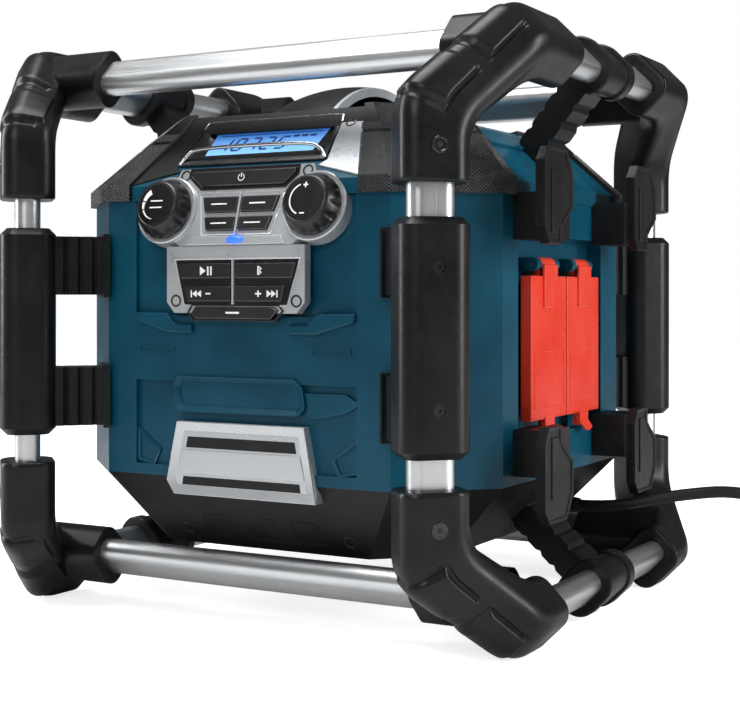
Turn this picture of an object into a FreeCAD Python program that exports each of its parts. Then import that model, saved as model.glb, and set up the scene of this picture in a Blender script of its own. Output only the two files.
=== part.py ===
import FreeCAD, Part
import Sketcher
import math
import os
from FreeCAD import Vector, Placement, Rotation

# Jobsite radio in a roll cage. Millimetres, +Z up, the front faces -Y,
# origin on the floor under the middle of the cage.

DIMENSIONS = [
    ("post_x", 175, "posts, half distance left to right"),
    ("post_y", 211, "posts, half distance front to rear"),
    ("tube_wide", 32, "cage tube, wide side of the flat oval"),
    ("tube_deep", 19, "cage tube, narrow side"),
    ("tube_round", 8.5, "cage tube, corner radius"),
    ("tube_wall", 1.6, "cage tube, wall"),
    ("fit_gap", 0.1, "clearance between a tube and its socket"),
    ("joint_gap", 0.3, "clearance between pieces that move"),
    ("cross_y", 153, "cross rails, half distance front to rear"),
    ("cross_top", 420, "upper cross rails, height"),
    ("cross_low", 40, "lower cross rails, height"),
    ("side_x", 211, "side rails, half distance left to right"),
    ("side_top", 422, "upper side rails, height"),
    ("socket_depth", 32, "how far a tube runs into a socket"),
    ("elbow_wide", 48, "elbow socket, wide side"),
    ("elbow_deep", 41, "elbow socket, narrow side"),
    ("elbow_round", 13, "elbow socket, corner radius"),
    ("elbow_rim", 4, "chamfer at a socket's mouth"),
    ("elbow_low_mouth", 120.5, "mouth of the lower elbows on the posts"),
    ("elbow_high_mouth", 321, "mouth of the upper elbows on the posts"),
    ("elbow_straight", 48.5, "straight part of the elbow on the post"),
    ("mouth_x", 139, "mouth of the elbows on the cross rails"),
    ("mouth_x_near", 163, "the same, upper elbows at front right and rear left"),
    ("mouth_y_top", 91, "mouth of the upper elbows on the side rails"),
    ("mouth_y_low", 121, "mouth of the lower elbows on the side rails"),
    ("branch_wide", 43, "elbow branch for the cross rail, wide side"),
    ("branch_deep", 36, "elbow branch for the cross rail, narrow side"),
    ("sleeve_low", 141, "post sleeve, lower end"),
    ("sleeve_high", 299, "post sleeve, upper end"),
    ("sleeve_wide", 49, "post sleeve, wide side"),
    ("sleeve_deep", 42, "post sleeve, narrow side"),
    ("sleeve_round", 14, "post sleeve, corner radius"),
    ("sleeve_rim", 5, "post sleeve, chamfer at its ends"),
    ("arm_high", 45, "sleeve arm, height"),
    ("arm_thick", 30, "sleeve arm, width across"),
    ("arm_inset", 6, "sleeve arm, distance from the sleeve's end"),
    ("arm_rib", 2, "depth of the grooves across an arm"),
    ("arm_ribs", 3, "grooves on each side of an arm"),
    ("clamp_long", 52, "rail clamp, length along the rail"),
    ("clamp_wall", 6, "rail clamp, wall around the rail"),
    ("clamp_arm_wide", 34, "rail clamp arm, width along the rail"),
    ("clamp_arm_thick", 22, "rail clamp arm, thickness"),
    ("screw_head", 4.2, "cage screw, head radius"),
    ("screw_shank", 2.2, "cage screw, shank radius"),
    ("screw_hex", 1.6, "cage screw, socket radius"),
    ("screw_sunk", 1.2, "cage screw, how deep its head lies"),
    ("body_x", 185, "body, half width"),
    ("body_y", 174, "body, half depth"),
    ("flat_x", 125, "body, half width of the front flat"),
    ("flat_y", 117, "body, half length of the side flat"),
    ("body_low", 110.5, "body walls, lower edge"),
    ("body_high", 320, "body walls, upper edge"),
    ("body_wall", 3, "body, wall thickness"),
    ("split_y", 96, "front housing, distance of its seam in front of the middle"),
    ("field_x", 98, "front field between the corner pilasters, half width"),
    ("field_sunk", 4, "front field, depth"),
    ("band_low", 183, "raised band on the front, lower edge"),
    ("band_high", 232, "raised band on the front, upper edge"),
    ("base_low", 55, "base, underside"),
    ("base_x", 132, "base underside, half width"),
    ("base_y", 140, "base underside, half depth"),
    ("base_flat_x", 89, "base underside, half width of the front flat"),
    ("base_flat_y", 99, "base underside, half length of the side flat"),
    ("eave_high", 331, "eave, upper edge"),
    ("eave_out", 1.5, "eave, how far it stands out past the walls"),
    ("tier_high", 372, "roof, height of the break in its slope"),
    ("tier_x", 146, "roof break, half width"),
    ("tier_y", 136, "roof break, half depth"),
    ("tier_flat_x", 97, "roof break, half width of the front flat"),
    ("tier_flat_y", 89.5, "roof break, half length of the side flat"),
    ("top_high", 387.5, "roof top, height"),
    ("top_x", 98, "roof top, half width"),
    ("top_y", 124, "roof top, half depth"),
    ("top_flat_x", 84, "roof top, half width of the front flat"),
    ("top_flat_y", 110.7, "roof top, half length of the side flat"),
    ("grille_thick", 3, "corner grille, thickness"),
    ("grille_gap", 2.5, "gap between the two panels of a grille"),
    ("lid_radius", 130, "bay lid, radius of its dome"),
    ("lid_rise", 34, "bay lid, height of the dome over the roof"),
    ("lid_wall", 3, "bay lid, wall"),
    ("lid_cut", 20, "bay lid, distance of its open end right of the middle"),
    ("lid_trim_wide", 7, "silver arch, width"),
    ("lid_trim_thick", 3, "silver arch, thickness"),
    ("bay_x", 52, "media bay, half length left to right"),
    ("bay_shift", -28, "media bay, middle left of the centre"),
    ("bay_y", 48, "media bay, half width"),
    ("bay_deep", 34, "media bay, depth"),
    ("hinge_pin", 1.5, "hinge pins, radius"),
    ("hinge_play", 0.05, "hinge pins, radial clearance"),
    ("lean", 16, "control panel, lean in degrees"),
    ("panel_low", 284.5, "control panel, lower edge"),
    ("panel_out", 184, "control panel, distance of its lower edge in front of the middle"),
    ("panel_high", 61, "control panel, height along its face"),
    ("panel_x", 59, "control panel, half width"),
    ("panel_thick", 9, "control panel, thickness"),
    ("knob_x", 65.4, "knobs, half distance"),
    ("knob_up", 28, "knobs, height above the panel's lower edge"),
    ("ring_radius", 26.5, "knob rings, radius"),
    ("ring_out", 2, "knob rings, how far they stand proud"),
    ("knob_radius", 23, "knobs, radius at the foot"),
    ("knob_face", 17.5, "knobs, radius of the face"),
    ("knob_long", 15, "knobs, length"),
    ("knob_skirt", 6, "knobs, length of the straight foot"),
    ("shaft_radius", 3, "encoder shafts, radius"),
    ("shaft_long", 10, "encoder shafts, length inside the knob"),
    ("key_out", 2, "keys, how far they stand proud"),
    ("key_travel", 1.2, "keys, travel"),
    ("key_panel_x", 61, "key panel, half width"),
    ("key_panel_low", 234.5, "key panel, lower edge"),
    ("key_panel_thick", 8, "key panel, thickness"),
    ("board_gap", 3, "space between the keys and the board"),
    ("board_thick", 1.6, "control board, thickness"),
    ("bezel_x", 63, "display bezel, half width"),
    ("bezel_low", 346, "display bezel, lower edge height"),
    ("bezel_long", 47, "display bezel, length up the slope"),
    ("bezel_thick", 9, "display bezel, thickness"),
    ("screen_x", 50, "screen, half width"),
    ("screen_long", 32, "screen, length up the slope"),
    ("screen_up", 11.5, "screen, lower edge above the bezel's"),
    ("screen_thick", 3, "screen, thickness"),
    ("guard_radius", 1.4, "wire guard, radius of the wire"),
    ("guard_x", 62, "wire guard, half width"),
    ("guard_out", 6, "wire guard, height over the bezel"),
    ("port_x", 66, "port plate, half width at its foot"),
    ("port_top_x", 56, "port plate, half width at its top"),
    ("port_low", 98, "port plate, lower edge"),
    ("port_high", 152.5, "port plate, upper edge"),
    ("port_thick", 6, "port plate, thickness"),
    ("slot_x", 48, "port slots, half width"),
    ("slot_high", 5, "port slots, height"),
    ("recess_front", 90, "outlet recess, distance of its front edge before the middle"),
    ("recess_rear", 80, "outlet recess, distance of its rear edge behind the middle"),
    ("recess_low", 142, "outlet recess, lower edge"),
    ("recess_high", 292, "outlet recess, upper edge"),
    ("recess_deep", 12, "outlet recess, depth"),
    ("cover_wide", 69, "outlet cover, width"),
    ("cover_gap", 1.5, "gap between the outlet covers"),
    ("cover_low", 155, "outlet cover, lower edge"),
    ("cover_high", 262, "outlet cover, upper edge of its panel"),
    ("cover_thick", 8, "outlet cover, thickness"),
    ("cover_out", 4, "outlet cover, how far it stands out of the side"),
    ("cover_middle", -6, "gap between the covers, place along the side"),
    ("cover_hinge", 271, "outlet cover hinge, height"),
    ("knuckle_radius", 5, "outlet cover hinge, knuckle radius"),
    ("knuckle_wide", 26, "outlet cover, width of its knuckle"),
    ("outlet_radius", 17, "receptacle, radius"),
    ("outlet_deep", 24, "receptacle, depth behind the recess floor"),
    ("cleat_x", 218, "cleats, outer face"),
    ("cleat_thick", 6.3, "cleats, plate thickness"),
    ("cleat_y", 94, "cleats, middle of the plates, front and rear"),
    ("cleat_wide", 54, "cleats, plate width"),
    ("cleat_high", 69, "cleats, plate height"),
    ("cleat_top", 353, "upper cleats, top of the plate"),
    ("cleat_bottom", 86, "lower cleats, foot of the plate"),
    ("stem_wide", 40, "cleat stem, width"),
    ("stem_high", 34, "cleat stem, height"),
    ("stem_inset", 4, "cleat stem, distance from the plate's near end"),
    ("speaker_radius", 31, "corner speaker, radius"),
    ("speaker_deep", 28, "corner speaker, depth"),
    ("woofer_radius", 65, "bass driver, radius of its flange"),
    ("woofer_hole", 54, "bass driver, opening in the base"),
    ("woofer_deep", 62, "bass driver, depth"),
    ("supply_x", 60, "power supply, half width"),
    ("supply_y", 30, "power supply, half depth"),
    ("supply_high", 70, "power supply, height"),
    ("supply_back", 100, "power supply, distance behind the middle"),
    ("cord_radius", 4.75, "mains cord, radius"),
    ("gland_radius", 9, "cord gland, radius at the wall"),
    ("gland_long", 26, "cord gland, length"),
    ("cord_y", 70, "cord exit, distance behind the middle"),
    ("cord_high", 74, "cord exit, height"),
    ("coil_turns", 2, "turns in each layer of the coil"),
    ("coil_inner", 45, "coil, radius of its inner turn"),
    ("coil_pitch", 10.2, "coil, distance between neighbouring turns"),
    ("coil_x", 410, "place to the right where the cord reaches the floor"),
    ("coil_y", 200, "place to the rear where the cord reaches the floor"),
    ("plug_long", 42, "plug, length of its grip"),
    ("plug_wide", 30, "plug, width"),
    ("plug_high", 28, "plug, height"),
    ("blade_long", 17, "plug blades, length"),
    ("blade_wide", 6.4, "plug blades, width"),
    ("blade_thick", 1.6, "plug blades, thickness"),
    ("blade_gap", 12.7, "plug blades, distance between them"),
]

doc = FreeCAD.newDocument("jobsite_radio")
sheet = doc.addObject("Spreadsheet::Sheet", "dims")
for row, (alias, number, note) in enumerate(DIMENSIONS, start=1):
    sheet.set("A%d" % row, note)
    sheet.set("B%d" % row, str(number))
    sheet.setAlias("B%d" % row, alias)
doc.recompute()


class Size:
    """A length that knows both its value and its formula in the sheet."""

    def __init__(self, value, text):
        self.value = float(value)
        self.text = text

    def __float__(self):
        return self.value

    def __add__(self, other):
        return Size(self.value + float(other), "(%s + %s)" % (self.text, words(other)))

    def __radd__(self, other):
        return Size(float(other) + self.value, "(%s + %s)" % (words(other), self.text))

    def __sub__(self, other):
        return Size(self.value - float(other), "(%s - %s)" % (self.text, words(other)))

    def __rsub__(self, other):
        return Size(float(other) - self.value, "(%s - %s)" % (words(other), self.text))

    def __mul__(self, other):
        return Size(self.value * float(other), "(%s * %s)" % (self.text, words(other)))

    def __rmul__(self, other):
        return Size(float(other) * self.value, "(%s * %s)" % (words(other), self.text))

    def __truediv__(self, other):
        return Size(self.value / float(other), "(%s / %s)" % (self.text, words(other)))

    def __neg__(self):
        return Size(-self.value, "(0 - %s)" % self.text)


def words(number):
    """The formula text of a size or of a plain number."""
    return number.text if isinstance(number, Size) else repr(float(number))


class Sizes:
    """Every cell of the sheet as a Size, by its alias."""


d = Sizes()
for alias, number, note in DIMENSIONS:
    setattr(d, alias, Size(sheet.get(alias), "dims." + alias))

PARTS = []


def put(thing, field, size):
    """Sets a property, bound to the sheet when the size comes from it."""
    setattr(thing, field, float(size))
    if isinstance(size, Size):
        thing.setExpression(field, size.text)


def place(thing, x=0.0, y=0.0, z=0.0, axis=None, angle=0.0):
    """Puts a thing at a place bound to the sheet, turned about one axis."""
    turn = Rotation(Vector(*axis), float(angle)) if axis else Rotation()
    thing.Placement = Placement(Vector(float(x), float(y), float(z)), turn)
    for letter, size in (("x", x), ("y", y), ("z", z)):
        if isinstance(size, Size):
            thing.setExpression("Placement.Base." + letter, size.text)
    if isinstance(angle, Size):
        thing.setExpression("Placement.Rotation.Angle", angle.text)
    return thing


def keep(thing, node):
    """Names a finished sub-part and lists it for export."""
    thing.Label = node
    PARTS.append(thing)
    return thing


def box(x0, y0, z0, x1, y1, z1):
    """A box between two corners."""
    thing = doc.addObject("Part::Box", "box")
    put(thing, "Length", x1 - x0)
    put(thing, "Width", y1 - y0)
    put(thing, "Height", z1 - z0)
    return place(thing, x0, y0, z0)


def cylinder(radius, length):
    """A cylinder along +Z from the origin."""
    thing = doc.addObject("Part::Cylinder", "cylinder")
    put(thing, "Radius", radius)
    put(thing, "Height", length)
    return thing


def cone(radius_low, radius_high, length):
    """A cone along +Z from the origin."""
    thing = doc.addObject("Part::Cone", "cone")
    put(thing, "Radius1", radius_low)
    put(thing, "Radius2", radius_high)
    put(thing, "Height", length)
    return thing


def fuse(*things):
    """One solid from several that touch."""
    if len(things) == 1:
        return things[0]
    thing = doc.addObject("Part::MultiFuse", "fuse")
    thing.Shapes = list(things)
    thing.Refine = True
    return thing


def cut(base, *tools):
    """The base less its tools."""
    thing = doc.addObject("Part::Cut", "cut")
    thing.Base = base
    thing.Tool = fuse(*tools)
    thing.Refine = True
    return thing


def made(shape):
    """A solid that is shaped in code from the sheet's sizes."""
    thing = doc.addObject("Part::Feature", "made")
    thing.Shape = shape
    return thing


def prism(corners, length, plane="XZ", start=0.0):
    """A body with one padded polygon. Corners are pairs of sizes in the plane.
    In plane XZ the pad runs to +Y, in XY to +Z and in YZ to +X."""
    body = doc.addObject("PartDesign::Body", "prism")
    sketch = body.newObject("Sketcher::SketchObject", "outline")
    role = plane + "_Plane"
    for origin_plane in body.Origin.OriginFeatures:
        if origin_plane.Role == role:
            sketch.AttachmentSupport = [(origin_plane, "")]
    sketch.MapMode = "FlatFace"
    points = [Vector(float(a), float(b), 0) for a, b in corners]
    count = len(points)
    for k in range(count):
        sketch.addGeometry(Part.LineSegment(points[k], points[(k + 1) % count]), False)
    for k in range(count):
        sketch.addConstraint(Sketcher.Constraint("Coincident", k, 2, (k + 1) % count, 1))
    for k, (a, b) in enumerate(corners):
        for kind, size in (("DistanceX", a), ("DistanceY", b)):
            if abs(float(size)) < 1e-9 and not isinstance(size, Size):
                axis = -2 if kind == "DistanceX" else -1
                sketch.addConstraint(Sketcher.Constraint("PointOnObject", k, 1, axis))
                continue
            number = sketch.addConstraint(Sketcher.Constraint(kind, -1, 1, k, 1, float(size)))
            if isinstance(size, Size):
                sketch.setExpression("Constraints[%d]" % number, size.text)
    pad = body.newObject("PartDesign::Pad", "pad")
    pad.Profile = sketch
    put(pad, "Length", length)
    if plane == "XZ":
        pad.Reversed = True
    sketch.Visibility = False
    if plane == "XZ":
        place(body, 0, start, 0)
    elif plane == "XY":
        place(body, 0, 0, start)
    else:
        place(body, start, 0, 0)
    return body


def rounded_wire(centre, wide_way, deep_way, wide, deep, radius, slide=None):
    """A rounded rectangle about a centre. With slide = (direction, plane normal)
    each point moves along the direction onto the plane through the centre."""
    half_w = wide / 2 - radius
    half_d = deep / 2 - radius
    reach = radius * math.sqrt(0.5)

    def at(a, b):
        point = centre + wide_way * a + deep_way * b
        if slide:
            way, normal = slide
            point = point - way * ((point - centre).dot(normal) / way.dot(normal))
        return point

    edges = []
    corners = [(1, 1), (-1, 1), (-1, -1), (1, -1)]
    for k, (sw, sd) in enumerate(corners):
        cw = sw * half_w
        cd = sd * half_d
        first = (cw + sw * radius, cd) if k % 2 == 0 else (cw, cd + sd * radius)
        last = (cw, cd + sd * radius) if k % 2 == 0 else (cw + sw * radius, cd)
        middle = (cw + sw * reach, cd + sd * reach)
        if slide:
            curve = Part.BSplineCurve()
            low = math.pi / 8
            steps = []
            for part in range(5):
                turn = part * low
                if k % 2 == 0:
                    steps.append((cw + sw * radius * math.cos(turn), cd + sd * radius * math.sin(turn)))
                else:
                    steps.append((cw + sw * radius * math.sin(turn), cd + sd * radius * math.cos(turn)))
            curve.interpolate([at(a, b) for a, b in steps])
            edges.append(curve.toShape())
        else:
            edges.append(Part.Arc(at(*first), at(*middle), at(*last)).toShape())
        nw, nd = corners[(k + 1) % 4]
        if k % 2 == 0:
            following = (nw * half_w, nd * half_d + nd * radius)
        else:
            following = (nw * half_w + nw * radius, nd * half_d)
        edges.append(Part.makeLine(at(*last), at(*following)))
    return Part.Wire(Part.__sortEdges__(edges))


def bar(start, end, deep_way, wide, deep, radius, rim_start=0.0, rim_end=0.0):
    """A rounded bar from start to end with optional chamfered ends."""
    way = (end - start).normalize()
    deep_way = Vector(deep_way).normalize()
    wide_way = way.cross(deep_way)
    stations = []
    if rim_start:
        stations.append((start, rim_start))
        stations.append((start + way * rim_start, 0.0))
    else:
        stations.append((start, 0.0))
    if rim_end:
        stations.append((end - way * rim_end, 0.0))
        stations.append((end, rim_end))
    else:
        stations.append((end, 0.0))
    wires = []
    for point, rim in stations:
        wires.append(rounded_wire(point, wide_way, deep_way, wide - 2 * rim, deep - 2 * rim,
                                  max(radius - rim, 1.0)))
    return Part.makeLoft(wires, True, True)


def octagon(half_x, half_y, flat_x, flat_y, height, inset=0.0):
    """An octagon with chamfered corners, moved in by an inset, at a height."""
    span = math.hypot(half_x - flat_x, half_y - flat_y)
    a = (half_y - flat_y) / span
    b = (half_x - flat_x) / span
    fx = flat_x - inset * (1 - b) / a
    fy = flat_y - inset * (1 - a) / b
    hx = half_x - inset
    hy = half_y - inset
    points = [(fx, -hy), (hx, -fy), (hx, fy), (fx, hy), (-fx, hy), (-hx, fy), (-hx, -fy), (-fx, -hy)]
    return [Vector(x, y, height) for x, y in points]


def skin(levels):
    """A solid with flat or ruled sides through polygons of the same count."""
    wires = [Part.makePolygon(points + [points[0]]) for points in levels]
    return Part.makeLoft(wires, True, True)


def block(x0, y0, z0, x1, y1, z1):
    """A plain box for shaping in code."""
    return Part.makeBox(x1 - x0, y1 - y0, z1 - z0, Vector(x0, y0, z0))


def screw(seat, way):
    """A socket-head screw whose head is flush with its seat, pointing along way."""
    head_high = 2.4
    shank_long = 7.0
    head = Part.makeCylinder(N.screw_head, head_high, seat, way)
    shank = Part.makeCylinder(N.screw_shank, shank_long, seat + way * head_high, way)
    hexagon = Part.makeCylinder(N.screw_hex, head_high * 0.6, seat, way)
    return head.fuse(shank).cut(hexagon)


def screw_hole(seat, way, depth):
    """The counterbore and shank hole of a cage screw, from outside the surface."""
    head_high = 2.4
    shank_long = 7.0
    clear = N.fit_gap
    head = Part.makeCylinder(N.screw_head + clear, head_high + depth, seat - way * depth, way)
    shank = Part.makeCylinder(N.screw_shank + clear, shank_long + clear, seat + way * head_high, way)
    return head.fuse(shank)


N = Sizes()
for alias, number, note in DIMENSIONS:
    setattr(N, alias, float(sheet.get(alias)))

rearwards = Vector(0, 1, 0)
SIDES = (("left", -1), ("right", 1))
ENDS = (("front", -1), ("rear", 1))
SCREWS = []

# The lower side rails lie as high as the elbow's corner reaches down.
side_low = ((N.elbow_wide + N.elbow_deep - 4 * N.elbow_round) * math.sqrt(0.5) + 2 * N.elbow_round) / 2
LEVELS = (
    ("top", 1, N.elbow_high_mouth, N.cross_top, N.side_top, N.mouth_y_top),
    ("bottom", -1, N.elbow_low_mouth, N.cross_low, side_low, N.mouth_y_low),
)


def tube(start, end, deep_way):
    """A length of flat-oval tube."""
    outer = bar(start, end, deep_way, N.tube_wide, N.tube_deep, N.tube_round)
    wall = 2 * N.tube_wall
    inner = bar(start, end, deep_way, N.tube_wide - wall, N.tube_deep - wall, N.tube_round - N.tube_wall)
    return outer.cut(inner)


def bore(start, end, deep_way):
    """The room that a tube takes in a socket."""
    gap = 2 * N.fit_gap
    return bar(start, end, deep_way, N.tube_wide + gap, N.tube_deep + gap, N.tube_round + N.fit_gap)


def branch_mouth_x(sx, sy, sz):
    """Where an elbow's branch ends on its cross rail, counted from the middle."""
    return N.mouth_x_near if sz > 0 and sx * sy < 0 else N.mouth_x


# Cage tubes
post_low = N.elbow_low_mouth - N.socket_depth
post_high = N.elbow_high_mouth + N.socket_depth
posts = []
cross_rails = []
side_rails = []
for side, sx in SIDES:
    for end, sy in ENDS:
        x = sx * N.post_x
        y = sy * N.post_y
        posts.append(tube(Vector(x, y, post_low), Vector(x, y, post_high), Vector(sx, sy, 0)))
for level, sz, mouth_z, cross_z, side_z, mouth_y in LEVELS:
    for end, sy in ENDS:
        first = branch_mouth_x(-1, sy, sz) + N.socket_depth
        last = branch_mouth_x(1, sy, sz) + N.socket_depth
        y = sy * N.cross_y
        cross_rails.append(tube(Vector(-first, y, cross_z), Vector(last, y, cross_z), Vector(0, sy, sz)))
    for side, sx in SIDES:
        reach = mouth_y + N.socket_depth
        x = sx * N.side_x
        side_rails.append(tube(Vector(x, -reach, side_z), Vector(x, reach, side_z), Vector(sx, 0, sz)))
keep(made(Part.makeCompound(posts)), "posts")
keep(made(Part.makeCompound(cross_rails)), "cross_rails")
keep(made(Part.makeCompound(side_rails)), "side_rails")


def elbow(sx, sy, sz, mouth_z, cross_z, side_z, mouth_y):
    """A moulded corner: a socket on the post, a slanting neck out to the corner,
    a socket on the side rail and a branch for the cross rail."""
    up = Vector(0, 0, sz)
    along = Vector(0, -sy, 0)
    mouth = Vector(sx * N.post_x, sy * N.post_y, mouth_z)
    bend = mouth + up * N.elbow_straight
    corner = Vector(sx * N.side_x, sy * N.cross_y, side_z)
    ring = Vector(sx * N.side_x, sy * mouth_y, side_z)
    neck = (corner - bend).normalize()
    post_face = Vector(sx, sy, 0).normalize()
    rail_face = Vector(sx, 0, sz).normalize()
    sections = []
    for point, rim in ((mouth, N.elbow_rim), (mouth + up * N.elbow_rim, 0.0)):
        sections.append(rounded_wire(point, up.cross(post_face), post_face, N.elbow_wide - 2 * rim,
                                     N.elbow_deep - 2 * rim, N.elbow_round - rim))
    sections.append(rounded_wire(bend, up.cross(post_face), post_face, N.elbow_wide, N.elbow_deep,
                                 N.elbow_round, (up, (up + neck).normalize())))
    sections.append(rounded_wire(corner, along.cross(rail_face), rail_face, N.elbow_wide, N.elbow_deep,
                                 N.elbow_round, (along, (along + neck).normalize())))
    for point, rim in ((ring - along * N.elbow_rim, 0.0), (ring, N.elbow_rim)):
        sections.append(rounded_wire(point, along.cross(rail_face), rail_face, N.elbow_wide - 2 * rim,
                                     N.elbow_deep - 2 * rim, N.elbow_round - rim))
    solid = None
    for first, second in zip(sections[:-1], sections[1:]):
        piece = Part.makeLoft([first, second], True, True)
        solid = piece if solid is None else solid.fuse(piece)
    branch_face = Vector(0, sy, sz).normalize()
    branch_mouth = Vector(sx * branch_mouth_x(sx, sy, sz), sy * N.cross_y, cross_z)
    branch_root = Vector(sx * (N.side_x + 4), sy * N.cross_y, cross_z)
    solid = solid.fuse(bar(branch_mouth, branch_root, branch_face, N.branch_wide, N.branch_deep,
                           N.elbow_round - 1, N.elbow_rim, 0.0))
    clear = N.fit_gap
    beyond = 1.0
    solid = solid.cut(bore(mouth - up * beyond, mouth + up * (N.socket_depth + clear), post_face))
    solid = solid.cut(bore(ring + along * beyond, ring - along * (N.socket_depth + clear), rail_face))
    inward = Vector(sx, 0, 0)
    solid = solid.cut(bore(branch_mouth - inward * beyond, branch_mouth + inward * (N.socket_depth + clear),
                           branch_face))
    seat = mouth + up * (N.elbow_straight * 0.5) + post_face * (N.elbow_deep / 2 - N.screw_sunk)
    solid = solid.cut(screw_hole(seat, -post_face, 6.0))
    SCREWS.append(screw(seat, -post_face))
    return solid.removeSplitter()


# Elbows
for level, sz, mouth_z, cross_z, side_z, mouth_y in LEVELS:
    for side, sx in SIDES:
        for end, sy in ENDS:
            solid = elbow(sx, sy, sz, mouth_z, cross_z, side_z, mouth_y)
            keep(made(solid), "elbow_%s_%s_%s" % (level, end, side))


def chamfer_line(sx, sy):
    """The middle of a chamfered corner of the body, and the way out of it."""
    middle = Vector(sx * (N.body_x + N.flat_x) / 2, sy * (N.body_y + N.flat_y) / 2, 0)
    out = Vector(sx * (N.body_y - N.flat_y), sy * (N.body_x - N.flat_x), 0).normalize()
    return middle, out


def grooved_arm(start, end, tall_way, tall, thick, grooves, depth):
    """A bar of rectangular section with V grooves across its two broad sides."""
    way = (end - start).normalize()
    side_way = way.cross(tall_way).normalize()
    length = (end - start).Length
    outline = []
    pitch = length / (grooves + 1)
    half = pitch * 0.22
    for sign in (1, -1):
        run = [(0.0, thick / 2)]
        for k in range(grooves):
            middle = pitch * (k + 1)
            run += [(middle - half, thick / 2), (middle, thick / 2 - depth), (middle + half, thick / 2)]
        run.append((length, thick / 2))
        if sign < 0:
            run = [(a, -b) for a, b in reversed(run)]
        outline += run
    points = [start + way * a + side_way * b - tall_way * (tall / 2) for a, b in outline]
    face = Part.Face(Part.makePolygon(points + [points[0]]))
    return face.extrude(tall_way * tall)


def sleeve(sx, sy):
    """A post sleeve with two grooved arms that run in to the body's corner."""
    foot = Vector(sx * N.post_x, sy * N.post_y, N.sleeve_low)
    head = Vector(sx * N.post_x, sy * N.post_y, N.sleeve_high)
    post_face = Vector(sx, sy, 0).normalize()
    solid = bar(foot, head, post_face, N.sleeve_wide, N.sleeve_deep, N.sleeve_round, N.sleeve_rim,
                N.sleeve_rim)
    middle, out = chamfer_line(sx, sy)
    up = Vector(0, 0, 1)
    high = N.sleeve_high - N.arm_inset - N.arm_high / 2
    low = N.sleeve_low + N.arm_inset + N.arm_high / 2
    for height in (low, high):
        near = foot + Vector(0, 0, height - N.sleeve_low) - post_face * (N.sleeve_deep / 2 - 4)
        reach = (near - middle).dot(out) - N.fit_gap
        far = near - out * reach
        far = Vector(far.x, far.y, height)
        solid = solid.fuse(grooved_arm(near, far, up, N.arm_high, N.arm_thick, int(N.arm_ribs), N.arm_rib))
        pad = grooved_arm(far + out * 5.0, far, up, N.arm_high + 4, N.arm_thick + 6, 0, 0.0)
        solid = solid.fuse(pad)
    solid = solid.cut(bore(foot - up, head + up, post_face))
    for height in (low + 4, high - 4):
        seat = foot + Vector(0, 0, height - N.sleeve_low) + post_face * (N.sleeve_deep / 2 - N.screw_sunk)
        solid = solid.cut(screw_hole(seat, -post_face, 6.0))
        SCREWS.append(screw(seat, -post_face))
    return solid.removeSplitter()


# Sleeves
for side, sx in SIDES:
    for end, sy in ENDS:
        keep(made(sleeve(sx, sy)), "sleeve_%s_%s" % (end, side))


def roof_point(x):
    """Height of the side slope of the roof at a distance from the middle."""
    share = (N.body_x + N.eave_out - x) / (N.body_x + N.eave_out - N.tier_x)
    return N.eave_high + share * (N.tier_high - N.eave_high)


def base_point(x):
    """Height of the side slope of the base at a distance from the middle."""
    share = (N.body_x - x) / (N.body_x - N.base_x)
    return N.body_low + share * (N.base_low - N.body_low)


def clamp(sx, sz, side_z):
    """A clamp around the middle of a side rail, with an arm to the body."""
    half = N.clamp_long / 2
    rail_face = Vector(sx, 0, sz).normalize()
    centre = Vector(sx * N.side_x, 0, side_z)
    wall = 2 * N.clamp_wall
    solid = bar(centre - Vector(0, half, 0), centre + Vector(0, half, 0), rail_face, N.tube_wide + wall,
                N.tube_deep + wall, N.tube_round + N.clamp_wall, 2.0, 2.0)
    foot_x = N.tier_x + 14 if sz > 0 else N.base_x + 22
    foot_z = roof_point(foot_x) if sz > 0 else base_point(foot_x)
    foot = Vector(sx * foot_x, 0, foot_z)
    way = (foot - centre).normalize()
    near = centre + way * 14
    arm = grooved_arm(near, foot + way * 14, Vector(0, 1, 0), N.clamp_arm_wide, N.clamp_arm_thick, 4,
                      N.arm_rib)
    solid = solid.fuse(arm)
    solid = solid.cut(bore(centre - Vector(0, half + 1, 0), centre + Vector(0, half + 1, 0), rail_face))
    return solid


def roof_outer(grow):
    """The roof's outer form, grown or shrunk by an amount."""
    eave_x = N.body_x + N.eave_out
    eave_y = N.body_y + N.eave_out
    return skin([
        octagon(eave_x, eave_y, N.flat_x, N.flat_y, N.body_high, -grow),
        octagon(eave_x, eave_y, N.flat_x, N.flat_y, N.eave_high + grow * 0.4, -grow),
        octagon(N.tier_x, N.tier_y, N.tier_flat_x, N.tier_flat_y, N.tier_high + grow * 0.7, -grow),
        octagon(N.top_x, N.top_y, N.top_flat_x, N.top_flat_y, N.top_high + grow, -grow * 0.5),
    ])


def base_outer(grow):
    """The base's outer form, grown or shrunk by an amount."""
    return skin([
        octagon(N.base_x, N.base_y, N.base_flat_x, N.base_flat_y, N.base_low - grow, -grow * 0.5),
        octagon(N.body_x, N.body_y, N.flat_x, N.flat_y, N.body_low, -grow),
    ])


# Rail clamps
for level, sz, mouth_z, cross_z, side_z, mouth_y in LEVELS:
    hull = roof_outer(N.fit_gap) if sz > 0 else base_outer(N.fit_gap)
    for side, sx in SIDES:
        solid = clamp(sx, sz, side_z).cut(hull)
        whole = max(solid.Solids, key=lambda one: one.Volume)
        keep(made(whole.removeSplitter()), "clamp_%s_%s" % (level, side))
keep(made(Part.makeCompound(SCREWS)), "cage_screws")

# Leaning frame of the control panel: x to the right, up along the face, out of the face
lean_turn = math.radians(N.lean)
face_up = Vector(0, math.sin(lean_turn), math.cos(lean_turn))
face_out = Vector(0, -math.cos(lean_turn), math.sin(lean_turn))
face_origin = Vector(0, -N.panel_out, N.panel_low)


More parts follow.
